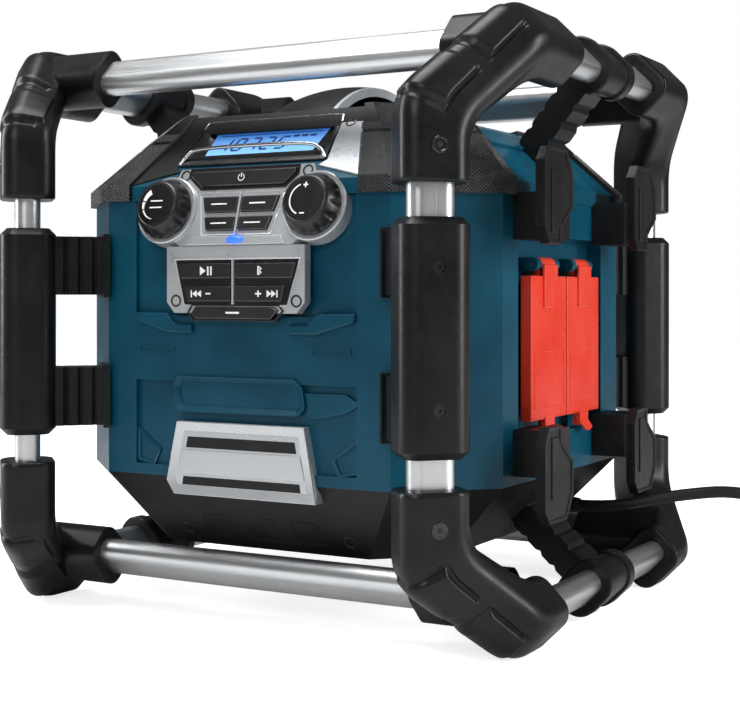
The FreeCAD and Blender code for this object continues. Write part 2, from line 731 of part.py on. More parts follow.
def on_panel(x, up, out=0.0):
    """A point given in the leaning frame of the control panel."""
    return face_origin + Vector(x, 0, 0) + face_up * up + face_out * out


def panel_form(grow, low, high):
    """The control panel's outline with its two knob rings, between two depths."""
    corners = [(-N.panel_x + 9 - grow, -grow), (N.panel_x - 9 + grow, -grow), (N.panel_x + 8 + grow, 12),
               (N.panel_x + 8 + grow, 44), (N.panel_x + grow, N.panel_high + grow),
               (-N.panel_x - grow, N.panel_high + grow), (-N.panel_x - 8 - grow, 44),
               (-N.panel_x - 8 - grow, 12)]
    points = [on_panel(x, up, low) for x, up in corners]
    face = Part.Face(Part.makePolygon(points + [points[0]]))
    solid = face.extrude(face_out * (high - low))
    for sign in (-1, 1):
        foot = on_panel(sign * N.knob_x, N.knob_up, low)
        solid = solid.fuse(Part.makeCylinder(N.ring_radius + grow, high - low, foot, face_out))
    return solid


# Display slope: the front slope of the roof
slope_run = N.body_y + N.eave_out - N.tier_y
slope_rise = N.tier_high - N.eave_high
slope_up = Vector(0, slope_run, slope_rise).normalize()
slope_out = Vector(0, -slope_rise, slope_run).normalize()
bezel_share = (N.bezel_low - N.eave_high) / slope_rise
slope_foot = Vector(0, -(N.body_y + N.eave_out) + slope_run * bezel_share, N.bezel_low)


def on_slope(x, up, out=0.0):
    """A point given in the frame of the display slope."""
    return slope_foot + Vector(x, 0, 0) + slope_up * up + slope_out * out


def slope_block(x0, x1, up0, up1, out0, out1):
    """A box in the frame of the display slope."""
    corners = ((x0, up0), (x1, up0), (x1, up1), (x0, up1))
    points = [on_slope(x, up, out0) for x, up in corners]
    return Part.Face(Part.makePolygon(points + [points[0]])).extrude(slope_out * (out1 - out0))


def panel_block(x0, x1, up0, up1, out0, out1):
    """A box in the leaning frame of the control panel."""
    corners = ((x0, up0), (x1, up0), (x1, up1), (x0, up1))
    points = [on_panel(x, up, out0) for x, up in corners]
    return Part.Face(Part.makePolygon(points + [points[0]])).extrude(face_out * (out1 - out0))


# Room for the control panel, the key panel and the display in the shells
panel_room = panel_form(N.fit_gap, -N.panel_thick - N.fit_gap, 40)
panel_hollow = panel_block(-N.panel_x + 12, N.panel_x - 12, 4, N.panel_high - 4, -26, 1)
key_back = -N.body_y - 2
key_room = block(-N.key_panel_x - N.fit_gap, -N.body_y - 30, N.key_panel_low - N.fit_gap,
                 N.key_panel_x + N.fit_gap, key_back + N.fit_gap, N.panel_low)
key_hollow = block(-N.key_panel_x + 6, -N.body_y - 10, N.key_panel_low + 3, N.key_panel_x - 6, -N.body_y + 24,
                   N.panel_low - 3)
bezel_sunk = 6.0
bezel_room = slope_block(-N.bezel_x - N.fit_gap, N.bezel_x + N.fit_gap, -N.fit_gap, N.bezel_long + N.fit_gap,
                         -bezel_sunk - N.fit_gap, 30)

# Shells
wall_outer = skin([octagon(N.body_x, N.body_y, N.flat_x, N.flat_y, z) for z in (N.body_low, N.body_high)])
wall_inner = skin([octagon(N.body_x, N.body_y, N.flat_x, N.flat_y, z, N.body_wall + N.field_sunk)
                   for z in (N.body_low - 1, N.body_high + 1)])
walls = wall_outer.cut(wall_inner)
far = 600.0
field = block(-N.field_x, -far, N.body_low + 8, N.field_x, -N.body_y + N.field_sunk, N.body_high + 1)
band = block(-N.field_x, -far, N.band_low, N.field_x, 0, N.band_high)
front = walls.cut(block(-far, -N.split_y, 0, far, far, far)).cut(field.cut(band))
for room in (panel_room, panel_hollow, key_room, key_hollow):
    front = front.cut(room)
port_mouth = block(-N.slot_x, -far, N.body_low + 4, N.slot_x, -N.body_y + 20, N.port_high - 6)
front = front.cut(port_mouth)
keep(made(front.removeSplitter()), "front_housing")

recess_x = N.body_x - N.recess_deep
recess = block(recess_x, -N.recess_front, N.recess_low, far, N.recess_rear, N.recess_high)
tray = block(recess_x - N.body_wall, -N.recess_front - N.body_wall, N.recess_low - N.body_wall, N.body_x - 1,
             N.recess_rear + N.body_wall, N.recess_high + N.body_wall)
rear = walls.cut(block(-far, -far, 0, far, -N.split_y, far)).fuse(tray).cut(recess)

# Outlet covers, hinged at their top on pins along Y
cover_face = N.body_x + N.cover_out
hinge_x = cover_face - N.knuckle_radius
outlet_z = (N.cover_low + N.cover_high) / 2
covers = []
pins = []
outlets = []
for end, sy in ENDS:
    near = N.cover_middle + sy * N.cover_gap / 2
    far_edge = near + sy * N.cover_wide
    y0 = min(near, far_edge)
    y1 = max(near, far_edge)
    middle = (y0 + y1) / 2
    slab = block(cover_face - N.cover_thick, y0, N.cover_low, cover_face, y1, N.cover_high)
    strip = block(cover_face - N.knuckle_radius - 2, middle - N.knuckle_wide / 2, N.cover_high - 12,
                  cover_face, middle + N.knuckle_wide / 2, N.cover_hinge)
    knuckle_start = Vector(hinge_x, middle - N.knuckle_wide / 2, N.cover_hinge)
    knuckle = Part.makeCylinder(N.knuckle_radius, N.knuckle_wide, knuckle_start, rearwards)
    tab = block(cover_face - 5, middle - 9, N.cover_low - 10, cover_face + 1, middle + 9, N.cover_low + 2)
    pin_start = knuckle_start - rearwards * 2
    pin_room = Part.makeCylinder(N.hinge_pin + N.hinge_play, N.knuckle_wide + 4, pin_start,
                                 rearwards)
    covers.append((end, slab.fuse(strip).fuse(knuckle).fuse(tab).cut(pin_room).removeSplitter()))
    ear_wide = 8.0
    pin_long = N.knuckle_wide + 2 * N.joint_gap + 2 * ear_wide
    pin = Part.makeCylinder(N.hinge_pin, pin_long, Vector(hinge_x, middle - pin_long / 2, N.cover_hinge),
                            Vector(0, 1, 0))
    pins.append(pin)
    for side in (-1, 1):
        start = middle + side * (N.knuckle_wide / 2 + N.joint_gap)
        stop = start + side * ear_wide
        ear = Part.makeCylinder(N.knuckle_radius, ear_wide, Vector(hinge_x, min(start, stop), N.cover_hinge),
                                Vector(0, 1, 0))
        root = block(recess_x - 1, min(start, stop), N.cover_hinge - N.knuckle_radius, hinge_x,
                     max(start, stop), N.cover_hinge + N.knuckle_radius)
        ear_hole = Part.makeCylinder(N.hinge_pin + N.hinge_play / 2, ear_wide + 2,
                                     Vector(hinge_x, min(start, stop) - 1, N.cover_hinge), Vector(0, 1, 0))
        rear = rear.fuse(ear.fuse(root)).cut(ear_hole)
    outlet_hole = Part.makeCylinder(N.outlet_radius + N.fit_gap, 40, Vector(recess_x - 20, middle, outlet_z),
                                    Vector(1, 0, 0))
    rear = rear.cut(outlet_hole)
    flange = Part.makeCylinder(N.outlet_radius + 5, 1.2, Vector(recess_x + N.fit_gap, middle, outlet_z),
                               Vector(1, 0, 0))
    barrel_start = Vector(recess_x + 1.2 - N.outlet_deep, middle, outlet_z)
    barrel = Part.makeCylinder(N.outlet_radius, N.outlet_deep, barrel_start, Vector(1, 0, 0))
    slots = None
    for slot_y in (middle - 7.5, middle + 5.5):
        slot = block(recess_x - 12, slot_y, outlet_z - 3, recess_x + 5, slot_y + 2, outlet_z + 5)
        slots = slot if slots is None else slots.fuse(slot)
    earth = Part.makeCylinder(2.6, 20, Vector(recess_x - 12, middle, outlet_z - 8), Vector(1, 0, 0))
    outlets.append(flange.fuse(barrel).cut(slots).cut(earth))

# Cord gland at the rear of the right side of the base
gland_y = N.cord_y
gland_root_x = N.base_x + (N.body_x - N.base_x) * (N.cord_high - N.base_low) / (N.body_low - N.base_low)
gland_foot = Vector(gland_root_x - 6, gland_y, N.cord_high)
cord_out = Vector(1, 0, 0)
keep(made(rear.removeSplitter()), "rear_housing")

base_shell = base_outer(0).cut(base_outer(-N.body_wall))
base_floor = skin([octagon(N.base_x, N.base_y, N.base_flat_x, N.base_flat_y, z) for z in
                   (N.base_low, N.base_low + N.body_wall)]).common(base_outer(0))
base_solid = base_shell.fuse(base_floor)
woofer_room = Part.makeCylinder(N.woofer_hole, 20, Vector(0, 0, N.base_low - 5), Vector(0, 0, 1))
base_solid = base_solid.cut(woofer_room)
gland_hole = Part.makeCylinder(N.gland_radius - 2, 60, gland_foot - cord_out * 30, cord_out)
base_solid = base_solid.cut(gland_hole)
keep(made(base_solid.removeSplitter()), "base_cover")

# Roof with the media bay
roof_hollow = roof_outer(-N.body_wall).cut(block(-far, -far, N.top_high - N.body_wall, far, far, far))
roof = roof_outer(0).cut(roof_hollow)
roof = roof.cut(skin([octagon(N.body_x, N.body_y, N.flat_x, N.flat_y, z, N.body_wall + N.field_sunk)
                      for z in (N.body_high - 1, N.body_high + 6)]))
bay_low = N.top_high - N.bay_deep
bay_box = block(N.bay_shift - N.bay_x, -N.bay_y, bay_low, N.bay_shift + N.bay_x, N.bay_y, far)
bay_walls = block(N.bay_shift - N.bay_x - N.body_wall, -N.bay_y - N.body_wall, bay_low - N.body_wall,
                  N.bay_shift + N.bay_x + N.body_wall, N.bay_y + N.body_wall, N.top_high - 1)
roof = roof.fuse(bay_walls).cut(bay_box)
for room in (panel_room, panel_hollow, bezel_room):
    roof = roof.cut(room)
roof = max(roof.Solids, key=lambda one: one.Volume)


def grille(sx, sy):
    """A corner grille: a shell over the roof's corner, its neighbours' edges and the eave."""
    shell = roof_outer(N.fit_gap + N.grille_thick).cut(roof_outer(N.fit_gap))
    beyond = 25.0
    plan = [(N.flat_x - 24, N.body_y + beyond), (N.flat_x - 24, N.body_y + N.eave_out),
            (N.tier_flat_x - 15, N.tier_y), (N.top_flat_x - 8, N.top_y - 1),
            (N.top_flat_x + 6, N.top_flat_y + 3), (N.top_x + 3, N.top_flat_y - 8),
            (N.tier_x, N.tier_flat_y - 6),
            (N.body_x + N.eave_out, N.flat_y - 14), (N.body_x + beyond, N.flat_y - 14),
            (N.body_x + beyond, N.body_y + beyond)]
    points = [Vector(sx * x, sy * y, N.body_high - 1) for x, y in plan]
    plan_face = Part.Face(Part.makePolygon(points + [points[0]]))
    return shell.common(plan_face.extrude(Vector(0, 0, N.top_high - N.body_high + 20)))


grilles = []
speakers = []
for side, sx in SIDES:
    for end, sy in ENDS:
        solid = grille(sx, sy)
        whole = max(solid.Solids, key=lambda one: one.Volume)
        grilles.append(whole)
        eave_middle = Vector(sx * (N.body_x + N.flat_x) / 2, sy * (N.body_y + N.flat_y) / 2, N.eave_high)
        tier_middle = Vector(sx * (N.tier_x + N.tier_flat_x) / 2, sy * (N.tier_y + N.tier_flat_y) / 2,
                             N.tier_high)
        rise = (tier_middle - eave_middle).normalize()
        out = Vector(sx, sy, 0).normalize()
        normal = (out - rise * out.dot(rise)).normalize()
        if normal.z < 0:
            normal = -normal
        centre = (eave_middle + tier_middle) * 0.5
        seat = centre - normal * (N.body_wall * 0.5)
        hole = Part.makeCylinder(N.speaker_radius * 0.62, 14, centre - normal * 8, normal)
        roof = roof.cut(hole)
        rim_deep = N.body_wall + 2.4
        rim = Part.makeCylinder(N.speaker_radius * 0.72, rim_deep, seat - normal * rim_deep, normal)
        rim = max(rim.cut(roof).Solids, key=lambda one: one.Volume)
        cone_body = Part.makeCone(N.speaker_radius * 0.4, N.speaker_radius * 0.66, N.speaker_deep * 0.5,
                                  seat - normal * (rim_deep + N.speaker_deep * 0.5), normal)
        magnet = Part.makeCylinder(N.speaker_radius * 0.5, N.speaker_deep * 0.35,
                                   seat - normal * (rim_deep + N.speaker_deep * 0.85), normal)
        speakers.append(rim.fuse(cone_body).fuse(magnet))
roof = max(roof.Solids, key=lambda one: one.Volume)
keep(made(roof.removeSplitter()), "roof_cover")
keep(made(Part.makeCompound(grilles)), "corner_grilles")
keep(made(Part.makeCompound(speakers)), "corner_speakers")

# Bay lid: a cap of a sphere, cut off at its right end, hinged along its left edge
cap_centre_z = N.top_high + N.lid_rise - N.lid_radius
cap_base = math.sqrt(N.lid_radius ** 2 - (N.lid_radius - N.lid_rise) ** 2)
lid_floor = N.top_high + N.joint_gap
above = block(-far, -far, lid_floor, N.lid_cut, far, far)
dome = Part.makeSphere(N.lid_radius, Vector(0, 0, cap_centre_z)).common(above)
room = Part.makeSphere(N.lid_radius - N.lid_wall, Vector(0, 0, cap_centre_z)).common(above)
lid = dome.cut(room)
lid_hinge_x = -(cap_base - 4)
lid_hinge_z = N.top_high + N.joint_gap + 3.2
lid_knuckle = Part.makeCylinder(3.2, 40, Vector(lid_hinge_x, -20, lid_hinge_z), rearwards)
lid_knuckle = lid_knuckle.common(block(-far, -far, lid_floor, far, far, far))
pin_play = N.hinge_pin + N.hinge_play
lid_pin_room = Part.makeCylinder(pin_play, 60, Vector(lid_hinge_x, -30, lid_hinge_z), rearwards)
lid_toe = block(-far, -far, -far, lid_hinge_x, far, lid_hinge_z)
lid = lid.cut(lid_toe).fuse(lid_knuckle)
for ear_y in (-27.3, 20.0):
    ear_room = block(lid_hinge_x - 9, ear_y, N.top_high - 1,
                     lid_hinge_x + 4.2, ear_y + 7.3, lid_hinge_z + 4.2)
    lid = lid.cut(ear_room)
lid = lid.cut(lid_pin_room)
lid = max(lid.Solids, key=lambda one: one.Volume)
keep(made(lid.removeSplitter()), "bay_lid")
arch_outer = Part.makeSphere(N.lid_radius - N.fit_gap, Vector(0, 0, cap_centre_z))
arch_inner = Part.makeSphere(N.lid_radius - N.lid_trim_wide, Vector(0, 0, cap_centre_z))
arch_slab = block(N.lid_cut + N.fit_gap, -far, lid_floor, N.lid_cut + N.fit_gap + N.lid_trim_thick, far, far)
keep(made(arch_outer.cut(arch_inner).common(arch_slab)), "lid_trim")

bay_ears = None
for sign in (-1, 1):
    y0 = 20.3 if sign > 0 else -26.3
    ear = block(lid_hinge_x - 2.6, y0, N.top_high - 0.5, lid_hinge_x + 2.6, y0 + 6, lid_hinge_z + 2.6)
    hole_radius = N.hinge_pin + N.hinge_play / 2
    hole = Part.makeCylinder(hole_radius, 8, Vector(lid_hinge_x, y0 - 1, lid_hinge_z), rearwards)
    ear = ear.cut(hole)
    bay_ears = ear if bay_ears is None else bay_ears.fuse(ear)
roof_part = PARTS[[one.Label for one in PARTS].index("roof_cover")]
roof_part.Shape = roof_part.Shape.fuse(bay_ears)
pins.append(Part.makeCylinder(N.hinge_pin, 52.6, Vector(lid_hinge_x, -26.3, lid_hinge_z), Vector(0, 1, 0)))
for end, solid in covers:
    keep(made(solid), "outlet_cover_" + end)
keep(made(Part.makeCompound(pins)), "hinge_pins")
keep(made(Part.makeCompound(outlets)), "outlets")

# Keys: name, outline on the panel, and which panel it sits in
PANEL_KEYS = [
    ("power_key", [(-48, 58.5), (45, 58.5), (45, 54.5), (36, 46), (-37, 46), (-48, 55)]),
    ("key_upper_left", [(-34, 37.5), (-1.6, 37.5), (-1.6, 25.5), (-30.5, 25.5)]),
    ("key_upper_right", [(1.6, 37.5), (34, 37.5), (30.5, 25.5), (1.6, 25.5)]),
    ("key_lower_left", [(-30, 21.8), (-1.6, 21.8), (-1.6, 11.3), (-27, 11.3)]),
    ("key_lower_right", [(1.6, 21.8), (30, 21.8), (27, 11.3), (1.6, 11.3)]),
]
FRONT_KEYS = [
    ("play_key", [(-49.5, 271.2), (-2.2, 271.2), (-2.2, 260), (-47, 260)]),
    ("pairing_key", [(2.2, 271.2), (54, 271.2), (51, 260), (2.2, 260)]),
    ("seek_down_key", [(-43, 254.6), (-2.2, 254.6), (-2.2, 243), (-41, 243)]),
    ("seek_up_key", [(2.2, 254.6), (45, 254.6), (42, 243), (2.2, 243)]),
    ("source_key", [(-34, 239.2), (34, 239.2), (39, 236.6), (33, 230.2), (-34, 230.2), (-38, 234)]),
]


def grown(corners, amount):
    """A convex outline with every side moved outwards by an amount."""
    count = len(corners)
    area = sum(corners[k][0] * corners[(k + 1) % count][1] - corners[(k + 1) % count][0] * corners[k][1]
               for k in range(count))
    outward = 1.0 if area > 0 else -1.0
    sides = []
    for k in range(count):
        (ax, ay), (bx, by) = corners[k], corners[(k + 1) % count]
        length = math.hypot(bx - ax, by - ay)
        nx = outward * (by - ay) / length
        ny = -outward * (bx - ax) / length
        sides.append((nx, ny, nx * ax + ny * ay + amount))
    result = []
    for k in range(count):
        a1, b1, c1 = sides[k - 1]
        a2, b2, c2 = sides[k]
        det = a1 * b2 - a2 * b1
        result.append(((c1 * b2 - c2 * b1) / det, (a1 * c2 - a2 * c1) / det))
    return result


def panel_prism(corners, low, high):
    """A prism on the leaning panel between two depths."""
    points = [on_panel(a, b, low) for a, b in corners]
    return Part.Face(Part.makePolygon(points + [points[0]])).extrude(face_out * (high - low))


# Control panel
panel = panel_form(0, -N.panel_thick, 0)
for sign in (-1, 1):
    foot = on_panel(sign * N.knob_x, N.knob_up, -N.panel_thick)
    panel = panel.fuse(Part.makeCylinder(N.ring_radius, N.panel_thick + N.ring_out, foot, face_out))
    shaft_start = on_panel(sign * N.knob_x, N.knob_up, -20)
    shaft_hole = Part.makeCylinder(N.shaft_radius + 1, 40, shaft_start, face_out)
    panel = panel.cut(shaft_hole)
for name, corners in PANEL_KEYS:
    panel = panel.cut(panel_prism(grown(corners, N.joint_gap), -30, 20))
lamp_hole = panel_prism([(-9.3, 6.6), (9.3, 6.6), (9.3, 1.0), (-9.3, 1.0)], -30, 20)
panel = panel.cut(lamp_hole)
keep(made(panel.removeSplitter()), "control_panel")
lamp = panel_block(-9.2, 9.2, 1.1, 6.5, -N.panel_thick, 1.5)
keep(made(lamp), "status_lamp")
for name, corners in PANEL_KEYS:
    keep(made(panel_prism(corners, -N.panel_thick, N.key_out)), name)

# Key panel
key_face = key_back - N.key_panel_thick
for_keys = [(-d.key_panel_x, d.panel_low - 0.4), (d.key_panel_x, d.panel_low - 0.4),
            (d.key_panel_x, d.key_panel_low + 8), (d.key_panel_x - 7, d.key_panel_low),
            (-d.key_panel_x + 7, d.key_panel_low), (-d.key_panel_x, d.key_panel_low + 8)]
key_plate = prism(for_keys, d.key_panel_thick, "XZ", -d.body_y - 2 - d.key_panel_thick)
holes = []
for name, corners in FRONT_KEYS:
    wider = grown(corners, N.joint_gap)
    holes.append(prism(wider, 40, "XZ", -d.body_y - 30))
top_trim = made(panel_form(N.fit_gap, -40, 40))
key_panel = cut(key_plate, top_trim, *holes)
keep(key_panel, "key_panel")
for name, corners in FRONT_KEYS:
    key = prism(corners, d.key_panel_thick + d.key_out, "XZ", -d.body_y - 2 - d.key_panel_thick - d.key_out)
    keep(key, name)

# Knobs on their shafts
for name, sign in (("volume_knob", -1), ("tuning_knob", 1)):
    foot = on_panel(sign * N.knob_x, N.knob_up, N.ring_out + N.joint_gap)
    skirt = Part.makeCylinder(N.knob_radius, N.knob_skirt, foot, face_out)
    head_foot = foot + face_out * N.knob_skirt
    head = Part.makeCone(N.knob_radius, N.knob_face, N.knob_long - N.knob_skirt, head_foot, face_out)
    solid = skirt.fuse(head)
    grips = 12
    for k in range(grips):
        turn = 2 * math.pi * k / grips
        spoke = Vector(math.cos(turn), 0, 0) + face_up * math.sin(turn)
        notch = Part.makeCylinder(2.4, 30, foot + spoke * (N.knob_radius + 1.0) + face_out * 3.0, face_out)
        solid = solid.cut(notch)
    hole = Part.makeCylinder(N.shaft_radius + N.hinge_play, N.shaft_long + 0.5, foot - face_out, face_out)
    keep(made(solid.cut(hole).removeSplitter()), name)

# Control board with switches under the keys and encoders behind the knobs
board_out = -N.panel_thick - N.board_gap
board = panel_block(-N.panel_x + 14, N.panel_x - 14, 6, N.panel_high - 6, board_out - N.board_thick,
                    board_out)
for name, corners in PANEL_KEYS:
    middle_x = sum(a for a, b in corners) / len(corners)
    middle_up = sum(b for a, b in corners) / len(corners)
    up0 = max(min(middle_up, N.panel_high - 9), 9)
    switch_high = N.board_gap - N.key_travel - 0.2
    switch = panel_block(middle_x - 3, middle_x + 3, up0 - 3, up0 + 3, board_out, board_out + switch_high)
    board = board.fuse(switch)
encoders = []
for sign in (-1, 1):
    can = Part.makeCylinder(7.5, 5.6, on_panel(sign * N.knob_x, N.knob_up, -N.panel_thick - 5.8), face_out)
    shaft = Part.makeCylinder(N.shaft_radius, N.panel_thick + N.ring_out + N.shaft_long,
                              on_panel(sign * N.knob_x, N.knob_up, -N.panel_thick - 0.2), face_out)
    link_x = sorted((sign * 40, sign * N.knob_x))
    link = panel_block(link_x[0], link_x[1], N.knob_up - 5, N.knob_up + 5,
                       board_out - N.board_thick, board_out)
    encoders.append(can.fuse(shaft).fuse(link))
for solid in encoders:
    board = board.fuse(solid)
keep(made(board.removeSplitter()), "control_board")
encoder_room = panel_block(-N.knob_x - 9, N.knob_x + 9, N.knob_up - 9, N.knob_up + 9, -26, 0)
front_part = PARTS[[one.Label for one in PARTS].index("front_housing")]
front_part.Shape = front_part.Shape.cut(encoder_room).removeSplitter()

# Display
bezel = slope_block(-N.bezel_x, N.bezel_x, 0, N.bezel_long, -bezel_sunk, N.bezel_thick - bezel_sunk)
screen_up = N.screen_up
screen_room = slope_block(-N.screen_x - N.fit_gap, N.screen_x + N.fit_gap, screen_up - N.fit_gap,
                          screen_up + N.screen_long + N.fit_gap, -2, 20)
bezel = bezel.cut(screen_room).cut(panel_room)
screen = slope_block(-N.screen_x, N.screen_x, screen_up, screen_up + N.screen_long, -2, -2 + N.screen_thick)
screen = screen.cut(panel_room)
guard_low = 2.0
bezel_top = N.bezel_thick - bezel_sunk
guard_half = [(N.guard_x, guard_low, 0.0), (N.guard_x - 2, guard_low + 4, 0.5),
              (N.guard_x - 10, guard_low + 9, 1.0)]
guard_path = [on_slope(-x, up, bezel_top + N.guard_out * share) for x, up, share in guard_half]
guard_path += [on_slope(x, up, bezel_top + N.guard_out * share) for x, up, share in reversed(guard_half)]
guard = None
for first, second in zip(guard_path[:-1], guard_path[1:]):
    rod = Part.makeCylinder(N.guard_radius, (second - first).Length, first, (second - first).normalize())
    ball = Part.makeSphere(N.guard_radius, second)
    guard = rod if guard is None else guard.fuse(rod)
    if (second - guard_path[-1]).Length > 1:
        guard = guard.fuse(ball)
guard = guard.cut(bezel)
guard = max(guard.Solids, key=lambda one: one.Volume)
keep(made(bezel.removeSplitter()), "display_bezel")
keep(made(screen), "display_screen")
keep(made(guard), "display_guard")

# Port plate over the mouth of the bass port
port_corners = [(-d.port_x, d.port_low + 10), (-d.port_x + 8, d.port_low), (d.port_x, d.port_low),
                (d.port_x, d.port_low + 6), (d.port_top_x, d.port_high), (-d.port_top_x, d.port_high)]
port_front = -d.body_y + d.field_sunk - d.port_thick
port = prism(port_corners, d.port_thick + 10, "XZ", port_front)
upper_slot = box(-d.slot_x, -d.body_y - 30, d.port_high - 16 - d.slot_high / 2, d.slot_x, -d.body_y + 30,
                 d.port_high - 16 + d.slot_high / 2)
lower_slot = box(-d.slot_x, -d.body_y - 30, d.port_low + 9 - d.slot_high / 2, d.slot_x, -d.body_y + 30,
                 d.port_low + 9 + d.slot_high / 2)
housing_part = PARTS[[one.Label for one in PARTS].index("front_housing")]
shell_room = made(housing_part.Shape.fuse(base_outer(N.fit_gap)))
keep(cut(port, upper_slot, lower_slot, shell_room), "port_plate")

# Cord cleats on the right side
cleats = []
for end, sy in ENDS:
    for sign in (1, -1):
        y0 = sy * N.cleat_y - N.cleat_wide / 2
        y1 = sy * N.cleat_y + N.cleat_wide / 2
        top = N.cleat_top if sign > 0 else N.cleat_bottom + N.cleat_high
        z_far = N.cleat_top if sign > 0 else N.cleat_bottom
        z_near = z_far - sign * N.cleat_high
        tip_y = sy * N.cleat_y
        half = N.cleat_wide / 2
        outline = [(tip_y - half, z_far - sign * 10), (tip_y - half + 9, z_far), (tip_y + half - 12, z_far),
                   (tip_y + half, z_far - sign * 18), (tip_y + half, z_far - sign * 42),
                   (tip_y + half - 22, z_near + sign * 12), (tip_y + half - 22, z_near),
                   (tip_y - half + 8, z_near), (tip_y - half, z_near + sign * 12)]
        points = [Vector(N.cleat_x - N.cleat_thick, a, b) for a, b in outline]
        sheet_plate = Part.Face(Part.makePolygon(points + [points[0]])).extrude(Vector(N.cleat_thick, 0, 0))
        stem_y0 = min(sy * (N.flat_y - 18), sy * (N.flat_y - 18 - N.stem_wide))
        stem_z0 = z_near + sign * N.stem_inset
        stem_z1 = stem_z0 + sign * N.stem_high
        stem = block(N.body_x + N.fit_gap, stem_y0, min(stem_z0, stem_z1), N.cleat_x - N.cleat_thick + 1,
                     stem_y0 + N.stem_wide, max(stem_z0, stem_z1))
        cleats.append(sheet_plate.fuse(stem).cut(base_outer(N.fit_gap)).cut(roof_outer(N.fit_gap)))
keep(made(Part.makeCompound(cleats)), "cord_cleats")

# Bass driver, standing on the floor of the base over its opening
floor_z = N.base_low + N.body_wall + N.fit_gap
flange = cylinder(d.woofer_radius, 4)
place(flange, 0, 0, d.base_low + d.body_wall + d.fit_gap)
basket = cone(d.woofer_radius - 8, d.woofer_radius * 0.5, d.woofer_deep - 4 - 18)
place(basket, 0, 0, d.base_low + d.body_wall + d.fit_gap + 4)
magnet = cylinder(d.woofer_radius * 0.7, 18)
place(magnet, 0, 0, d.base_low + d.body_wall + d.fit_gap + d.woofer_deep - 18)
hollow = cone(d.woofer_radius - 14, d.woofer_radius * 0.3, d.woofer_deep - 26)
place(hollow, 0, 0, d.base_low + d.body_wall + d.fit_gap - 0.5)
keep(cut(fuse(flange, basket, magnet), hollow), "subwoofer")

# Power supply: a transformer on a plate
supply_floor = d.base_low + d.body_wall + d.fit_gap
plate_box = box(-d.supply_x, d.supply_back - d.supply_y, supply_floor, d.supply_x, d.supply_back + d.supply_y,
                supply_floor + 2)
core = box(-d.supply_x + 30, d.supply_back - d.supply_y + 4, supply_floor + 1, d.supply_x - 20,
           d.supply_back + d.supply_y - 6, supply_floor + d.supply_high)
keep(fuse(plate_box, core), "power_supply")

# Gland, cord, coil and plug
gland_start = gland_foot
gland_cone = Part.makeCone(N.gland_radius, N.cord_radius + 1.2, N.gland_long, gland_start, cord_out)
gland_solid = gland_cone.cut(base_outer(N.fit_gap))
gland_neck = Part.makeCylinder(N.gland_radius - 2 - N.fit_gap, 10, gland_foot - cord_out * 4, cord_out)
gland_solid = max(gland_solid.Solids, key=lambda one: one.Volume).fuse(gland_neck)
cord_start = gland_start + cord_out * (N.gland_long + N.fit_gap)
gland_bore = Part.makeCylinder(N.cord_radius * 0.6, 60, gland_start - cord_out * 10, cord_out)
keep(made(gland_solid.removeSplitter()), "cord_gland")

ROUTE = [(200, 70, 74), (246, 80, 86), (298, 107, 91), (340, 140, 66), (372, 170, 26)]
floor_rest = N.cord_radius
landing = Vector(N.coil_x, N.coil_y, floor_rest)
coil_heading = math.radians(40)
coil_v = Vector(math.cos(coil_heading), math.sin(coil_heading), 0)
coil_u = Vector(coil_v.y, -coil_v.x, 0)


def arc_path(points):
    """Straight runs joined by tangent arcs of 0.45 of the shorter run over tan(half turn)."""
    edges = []
    radii = []
    start = points[0]
    for k in range(1, len(points) - 1):
        before = points[k] - points[k - 1]
        after = points[k + 1] - points[k]
        turn = before.getAngle(after)
        shorter = min(before.Length, after.Length)
        if turn < 1e-4:
            continue
        back = 0.45 * shorter
        radii.append(back / math.tan(turn / 2))
        way_in = before.normalize()
        way_out = after.normalize()
        first = points[k] - way_in * back
        last = points[k] + way_out * back
        radius = radii[-1]
        centre_way = (way_out - way_in).normalize()
        middle = points[k] + centre_way * (radius / math.cos(turn / 2) - radius)
        edges.append(Part.LineSegment(start, first).toShape())
        edges.append(Part.Arc(first, middle, last).toShape())
        start = last
    edges.append(Part.LineSegment(start, points[-1]).toShape())
    return Part.Wire(edges), radii


def pipe(path, radius):
    """A round tube along a smooth path."""
    first = path.OrderedEdges[0]
    origin = first.valueAt(first.FirstParameter)
    tangent = first.tangentAt(first.FirstParameter)
    ring = Part.Wire(Part.makeCircle(radius, origin, tangent))
    return path.makePipeShell([ring], True, False)


# Coil: one closed ring of the outer shape of two layers of turns on the floor, with the
# straight runs by which the cord comes in below and leaves above
coil_rise = 2 * N.cord_radius + 0.6
coil_outer = N.coil_inner + N.coil_pitch * (N.coil_turns - 0.5)
run_in = 45.0
coil_entry = landing + coil_v * (run_in + 2 * N.cord_radius)
coil_centre = coil_entry - coil_u * (coil_outer + N.coil_pitch / 2)
coil_centre.z = 0
ring_outer = coil_outer + N.coil_pitch / 2 + N.cord_radius
ring_inner = N.coil_inner - N.cord_radius
ring_high = 2 * N.cord_radius + coil_rise
run_radius = N.cord_radius - 0.2
ring_span = ring_outer - ring_inner
ring_corner = min(0.45 * ring_high, 0.45 * ring_span, N.cord_radius)
ring_middle = coil_centre + coil_u * (ring_inner + ring_span / 2) + Vector(0, 0, ring_high / 2)
ring_section = rounded_wire(ring_middle, coil_u, Vector(0, 0, 1), ring_span, ring_high, ring_corner)
coil_ring = Part.Face(ring_section).revolve(coil_centre, Vector(0, 0, 1), 360)

